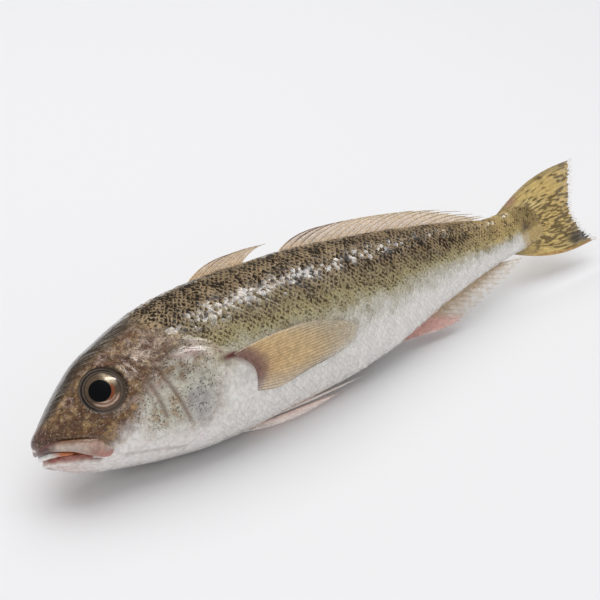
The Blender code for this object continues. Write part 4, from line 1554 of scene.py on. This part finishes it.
def make_dorsal_fins():
    tones = colours()
    horn = shared_material("fin_ray", ray_material)
    first = swept_place(*FIRST_DORSAL, bury=2.0)
    tint = fin_tint(tones.dorsal, (lambda a, o: 0.6 * ramp(-o, -0.45, -0.1), tones.pectoral))
    spines = fin_tint(
        tones.dorsal,
        (lambda a, o: 0.8 * ramp(o, 0.2, 0.8) * ramp(-a, -0.6, -0.1), tones.spine_red),
        (lambda a, o: 0.5 * ramp(o, 0.5, 1.0), darker(tones.tail, 0.5)),
    )
    make_web(
        "first_dorsal_web", first, 6, 14, tint,
        lambda a, o: 0.78 - 0.30 * ramp(o, 0.1, 0.8), notch=0.14,
    )
    make_rays("first_dorsal_spines", first, 6, spines, horn, past=0.03, ragged=0.06, steps_out=20)
    second = swept_place(*SECOND_DORSAL, bury=2.0)
    tint = fin_tint(
        tones.dorsal,
        (lambda a, o: 0.45 * bell(o, 0.35, 0.2), tones.throat),
        (lambda a, o: 0.5 * ramp(o, 0.5, 1.0) * ramp(a, 0.1, 0.5), tones.tail),
    )
    rays = fin_tint(
        tones.dorsal,
        (lambda a, o: 0.9 * ramp(-a, -0.22, -0.06) * ramp(o, 0.05, 0.4), tones.spine_red),
        (lambda a, o: 0.75 * ramp(o, 0.45, 0.95) * ramp(a, 0.15, 0.5), darker(tones.tail, 0.5)),
    )
    make_web(
        "second_dorsal_web", second, 18, 14, tint,
        lambda a, o: 0.74 - 0.30 * ramp(o, 0.1, 0.8), notch=0.12,
    )
    make_rays(
        "second_dorsal_rays", second, 18, rays, horn, past=0.01, ragged=0.05, steps_out=22,
        free=((9, 0.16), (11, 0.30), (13, 0.36), (15, 0.34), (17, 0.14)),
    )


def make_anal_fin():
    tones = colours()
    horn = shared_material("fin_ray", ray_material)
    place = upright_place(*ANAL, bury=2.0, side_bend=1.5)
    tint = fin_tint(
        tones.anal,
        (lambda a, o: 0.5 * (1.0 - o), (0.56, 0.20, 0.16)),
        (lambda a, o: ramp(a, 0.22, 0.38), (0.56, 0.41, 0.25)),
        (lambda a, o: 0.7 * ramp(o, 0.55, 1.0) * ramp(-a, -0.12, 0.0), (0.92, 0.86, 0.82)),
    )
    rays = fin_tint(
        (0.88, 0.62, 0.55),
        (lambda a, o: ramp(a, 0.22, 0.38), (0.70, 0.60, 0.48)),
        (lambda a, o: 0.8 * ramp(o, 0.6, 1.0), (0.92, 0.88, 0.85)),
    )

    def opacity(a, o):
        front = 0.85 - 0.25 * o
        return front + (0.12 + 0.68 * (1.0 - ramp(o, 0.0, 0.8)) - front) * ramp(a, 0.22, 0.38)

    make_web("anal_web", place, 18, 14, tint, opacity, notch=0.14, fray=0.03)
    make_rays("anal_rays", place, 18, rays, horn, past=0.02, thick=0.5, ragged=0.10, steps_out=16)


def tail_tint(along, outward):
    tones = colours()
    cloud = patches(along, outward, 5.0, 2.5, 21)
    streak = patches(along, outward, 52.0, 12.0, 22)
    dense = 0.24 * bell(along, 0.62, 0.26) - 0.10 * ramp(-along, -0.35, -0.1)
    dense += 0.12 * ramp(outward, 0.75, 1.0)
    spots = ramp(streak + dense + 0.12 * cloud, 0.02, 0.24) * ramp(outward, 0.16, 0.36)
    return layered(
        tones.tail,
        ((0.80, 0.64, 0.30), 0.55 * ramp(cloud, -0.1, 0.5)),
        ((0.10, 0.060, 0.022), 0.80 * spots),
        ((0.36, 0.26, 0.12), 0.8 * (1.0 - ramp(outward, 0.08, 0.38))),
        ((0.085, 0.060, 0.055), 0.75 * (bell(along, 0.58, 0.20) * bell(outward, 0.20, 0.09))),
        ((0.60, 0.34, 0.12), 0.8 * ramp(along, 0.94, 0.985) * ramp(outward, 0.2, 0.5)),
        ((0.055, 0.045, 0.038), 0.9 * (bell(along, 0.86, 0.11) * ramp(outward, 0.66, 0.84))),
        ((0.28, 0.21, 0.11), 0.6 * (1.0 - ramp(along, 0.02, 0.06))),
        (tones.flesh, 0.6 * bell(along, 0.03, 0.05) * bell(outward, 0.22, 0.06)),
    )


def make_tail_fin():
    horn = shared_material("fin_ray", ray_material)
    place = upright_place(*TAIL, bury=4.0, bow=4.0)
    make_web("tail_web", place, 24, 64, tail_tint, lambda a, o: 0.96 - 0.22 * ramp(o, 0.7, 1.0),
             notch=0.03, fray=0.022)
    make_rays("tail_rays", place, 24, tail_tint, horn, branch=0.28, steps_out=46, thick=0.65, ragged=0.05)


def make_pectoral_fins():
    tones = colours()
    horn = shared_material("fin_ray", ray_material)
    tint = fin_tint(
        tones.pectoral,
        (lambda a, o: 0.5 * (1.0 - ramp(o, 0.15, 0.5)), (0.66, 0.40, 0.17)),
        (lambda a, o: 0.85 * (1.0 - ramp(o + 0.10 * a, 0.10, 0.24)), tones.fin_root),
        (lambda a, o: 0.6 * ramp(o, 0.45, 0.95), (0.80, 0.74, 0.62)),
        (lambda a, o: 0.45 * ramp(a, 0.6, 1.0), tones.throat),
    )
    rays = fin_tint(
        darker(tones.pectoral, 0.60),
        (lambda a, o: 0.85 * (1.0 - ramp(o + 0.10 * a, 0.10, 0.24)), tones.fin_root),
        (lambda a, o: 0.75 * ramp(o, 0.50, 0.90), (0.22, 0.18, 0.115)),
        (lambda a, o: 0.8 * bell(a, 0.0, 0.05), (0.70, 0.58, 0.46)),
    )

    def opacity(a, o):
        return 0.96 - 0.16 * ramp(o, 0.15, 0.5) - 0.46 * ramp(o, 0.50, 1.0) - 0.22 * ramp(a, 0.55, 1.0)

    for side, hand in ((LEFT, "left"), (RIGHT, "right")):
        place = pectoral_place(side)
        make_web("pectoral_web_" + hand, place, 19, 22, tint, opacity, ripple=0.16, notch=0.05)
        make_rays(
            "pectoral_rays_" + hand, place, 19, rays, horn,
            branch=0.25, steps_out=22, thick=0.50, past=0.01, ragged=0.03,
        )


def make_pelvic_fins():
    tones = colours()
    horn = shared_material("fin_ray", ray_material)
    tint = fin_tint(
        (0.95, 0.88, 0.84), (lambda a, o: 0.3 * (1.0 - o) + 0.4 * ramp(-a, -0.3, 0.0), tones.anal)
    )
    rays = fin_tint(
        (0.96, 0.92, 0.89),
        (lambda a, o: 0.55 * ramp(-a, -0.3, -0.1), tones.anal),
        (lambda a, o: 0.6 * ramp(o, 0.7, 1.0), (0.35, 0.30, 0.26)),
    )
    for hand, (roots, tips), sag in (("left", PELVIC_LEFT, 0.6), ("right", PELVIC_RIGHT, 1.5)):
        place = pelvic_place(roots, tips, sag)
        make_web(
            "pelvic_web_" + hand, place, 5, 20, tint, lambda a, o: 0.95 - 0.25 * o,
            ripple=0.25, notch=0.05, glow=THIN_WEB_PAINTED_GLOW,
        )
        make_rays("pelvic_rays_" + hand, place, 5, rays, horn, steps_out=18, thick=0.8, ragged=0.05)


# Stage

def make_stage():
    scene = bpy.context.scene
    side = sizes().floor_size / 2.0
    corners = [(-side, -side, 0.0), (side, -side, 0.0), (side, side, 0.0), (-side, side, 0.0)]
    floor = new_piece("floor", corners, [(0, 1, 2, 3)], None, None, (), smooth=False)
    material, _, shader = new_material("pale_floor", roughness=0.55)
    shader.inputs["Base Color"].default_value = (0.83, 0.83, 0.845, 1.0)
    floor.data.materials.append(material)

    world = bpy.data.worlds.new("soft_room")
    scene.world = world
    world.use_nodes = True
    sky = world.node_tree.nodes["Background"]
    sky.inputs[0].default_value = (1.0, 1.0, 1.0, 1.0)
    seen = node(world.node_tree, "ShaderNodeLightPath").outputs["Is Glossy Ray"]
    strength = steps(world.node_tree, seen, 0.0, 1.0, ROOM_LIGHT, ROOM_GLOSS)
    world.node_tree.links.new(strength, sky.inputs[1])
    world.cycles.sampling_method = "NONE"

    for name, place, length, width, power, aimed in (
        ("strip", (0.46, -0.09, 1.0), 0.74, 0.15, 3.8, False),
        ("ceiling", (0.08, 0.45, 1.6), 2.2, 2.2, 27.2, True),
    ):
        lamp = bpy.data.lights.new(name, "AREA")
        lamp.shape = "RECTANGLE"
        lamp.size = length
        lamp.size_y = width
        lamp.energy = power
        shining = bpy.data.objects.new(name, lamp)
        scene.collection.objects.link(shining)
        shining.location = place
        if aimed:
            aim = Vector((0.0, 0.0, 0.03)) - Vector(place)
            shining.rotation_euler = aim.to_track_quat("-Z", "Y").to_euler()
            shining.visible_glossy = False
        shining.visible_diffuse = aimed

    view = bpy.data.cameras.new("camera")
    view.lens = CAMERA_LENS
    view.sensor_width = 36.0
    camera = bpy.data.objects.new("camera", view)
    scene.collection.objects.link(camera)
    camera.location = CAMERA_PLACE
    turn = math.radians(-CAMERA_AZIMUTH)
    tilt = math.radians(90.0 - CAMERA_ELEVATION)
    camera.rotation_euler = (tilt, 0.0, -turn)
    scene.camera = camera
    scene.view_settings.view_transform = "Standard"


class FISH_OT_stage(bpy.types.Operator):
    """Makes the floor, the light and the camera"""

    bl_idname = "fish.stage"
    bl_label = "Stage"

    def execute(self, context):
        make_stage()
        return {"FINISHED"}


class FISH_OT_skin(bpy.types.Operator):
    """Makes the skin of the head and trunk"""

    bl_idname = "fish.skin"
    bl_label = "Skin"

    def execute(self, context):
        make_skin()
        return {"FINISHED"}


class FISH_OT_scales(bpy.types.Operator):
    """Sets the scales on both flanks"""

    bl_idname = "fish.scales"
    bl_label = "Scales"

    def execute(self, context):
        make_scales()
        return {"FINISHED"}


class FISH_OT_lips(bpy.types.Operator):
    """Makes the lips round the open mouth"""

    bl_idname = "fish.lips"
    bl_label = "Lips"

    def execute(self, context):
        make_lips()
        return {"FINISHED"}


class FISH_OT_eyes(bpy.types.Operator):
    """Makes both eyes"""

    bl_idname = "fish.eyes"
    bl_label = "Eyes"

    def execute(self, context):
        make_eyes()
        return {"FINISHED"}


class FISH_OT_dorsal_fins(bpy.types.Operator):
    """Makes both fins of the back"""

    bl_idname = "fish.dorsal_fins"
    bl_label = "Dorsal fins"

    def execute(self, context):
        make_dorsal_fins()
        return {"FINISHED"}


class FISH_OT_anal_fin(bpy.types.Operator):
    """Makes the fin behind the belly"""

    bl_idname = "fish.anal_fin"
    bl_label = "Anal fin"

    def execute(self, context):
        make_anal_fin()
        return {"FINISHED"}


class FISH_OT_tail_fin(bpy.types.Operator):
    """Makes the tail fin"""

    bl_idname = "fish.tail_fin"
    bl_label = "Tail fin"

    def execute(self, context):
        make_tail_fin()
        return {"FINISHED"}


class FISH_OT_pectoral_fins(bpy.types.Operator):
    """Makes the fins of the flanks"""

    bl_idname = "fish.pectoral_fins"
    bl_label = "Pectoral fins"

    def execute(self, context):
        make_pectoral_fins()
        return {"FINISHED"}


class FISH_OT_pelvic_fins(bpy.types.Operator):
    """Makes the fins under the throat"""

    bl_idname = "fish.pelvic_fins"
    bl_label = "Pelvic fins"

    def execute(self, context):
        make_pelvic_fins()
        return {"FINISHED"}


OPERATORS = (
    FISH_OT_stage, FISH_OT_skin, FISH_OT_scales, FISH_OT_lips,
    FISH_OT_eyes, FISH_OT_dorsal_fins, FISH_OT_anal_fin, FISH_OT_tail_fin,
    FISH_OT_pectoral_fins, FISH_OT_pelvic_fins,
)


class FISH_PT_panel(bpy.types.Panel):
    """Lists the steps that dress the fish, with its sizes and colours"""

    bl_label = "Raw Fish"
    bl_space_type = "VIEW_3D"
    bl_region_type = "UI"
    bl_category = "Fish"

    def draw(self, context):
        layout = self.layout
        for item in OPERATORS:
            layout.operator(item.bl_idname)
        for group in (context.scene.fish_sizes, context.scene.fish_colours):
            for key in group.__annotations__:
                layout.prop(group, key)


CLASSES = (FishColours, FishSizes, *OPERATORS, FISH_PT_panel)


def register():
    for item in CLASSES:
        bpy.utils.register_class(item)
    bpy.types.Scene.fish_colours = bpy.props.PointerProperty(type=FishColours)
    bpy.types.Scene.fish_sizes = bpy.props.PointerProperty(type=FishSizes)


def unregister():
    del bpy.types.Scene.fish_colours
    del bpy.types.Scene.fish_sizes
    for item in reversed(CLASSES):
        bpy.utils.unregister_class(item)


def main():
    register()
    for item in OPERATORS:
        getattr(bpy.ops.fish, item.bl_idname.split(".")[1])()


if __name__ == "__main__":
    main()
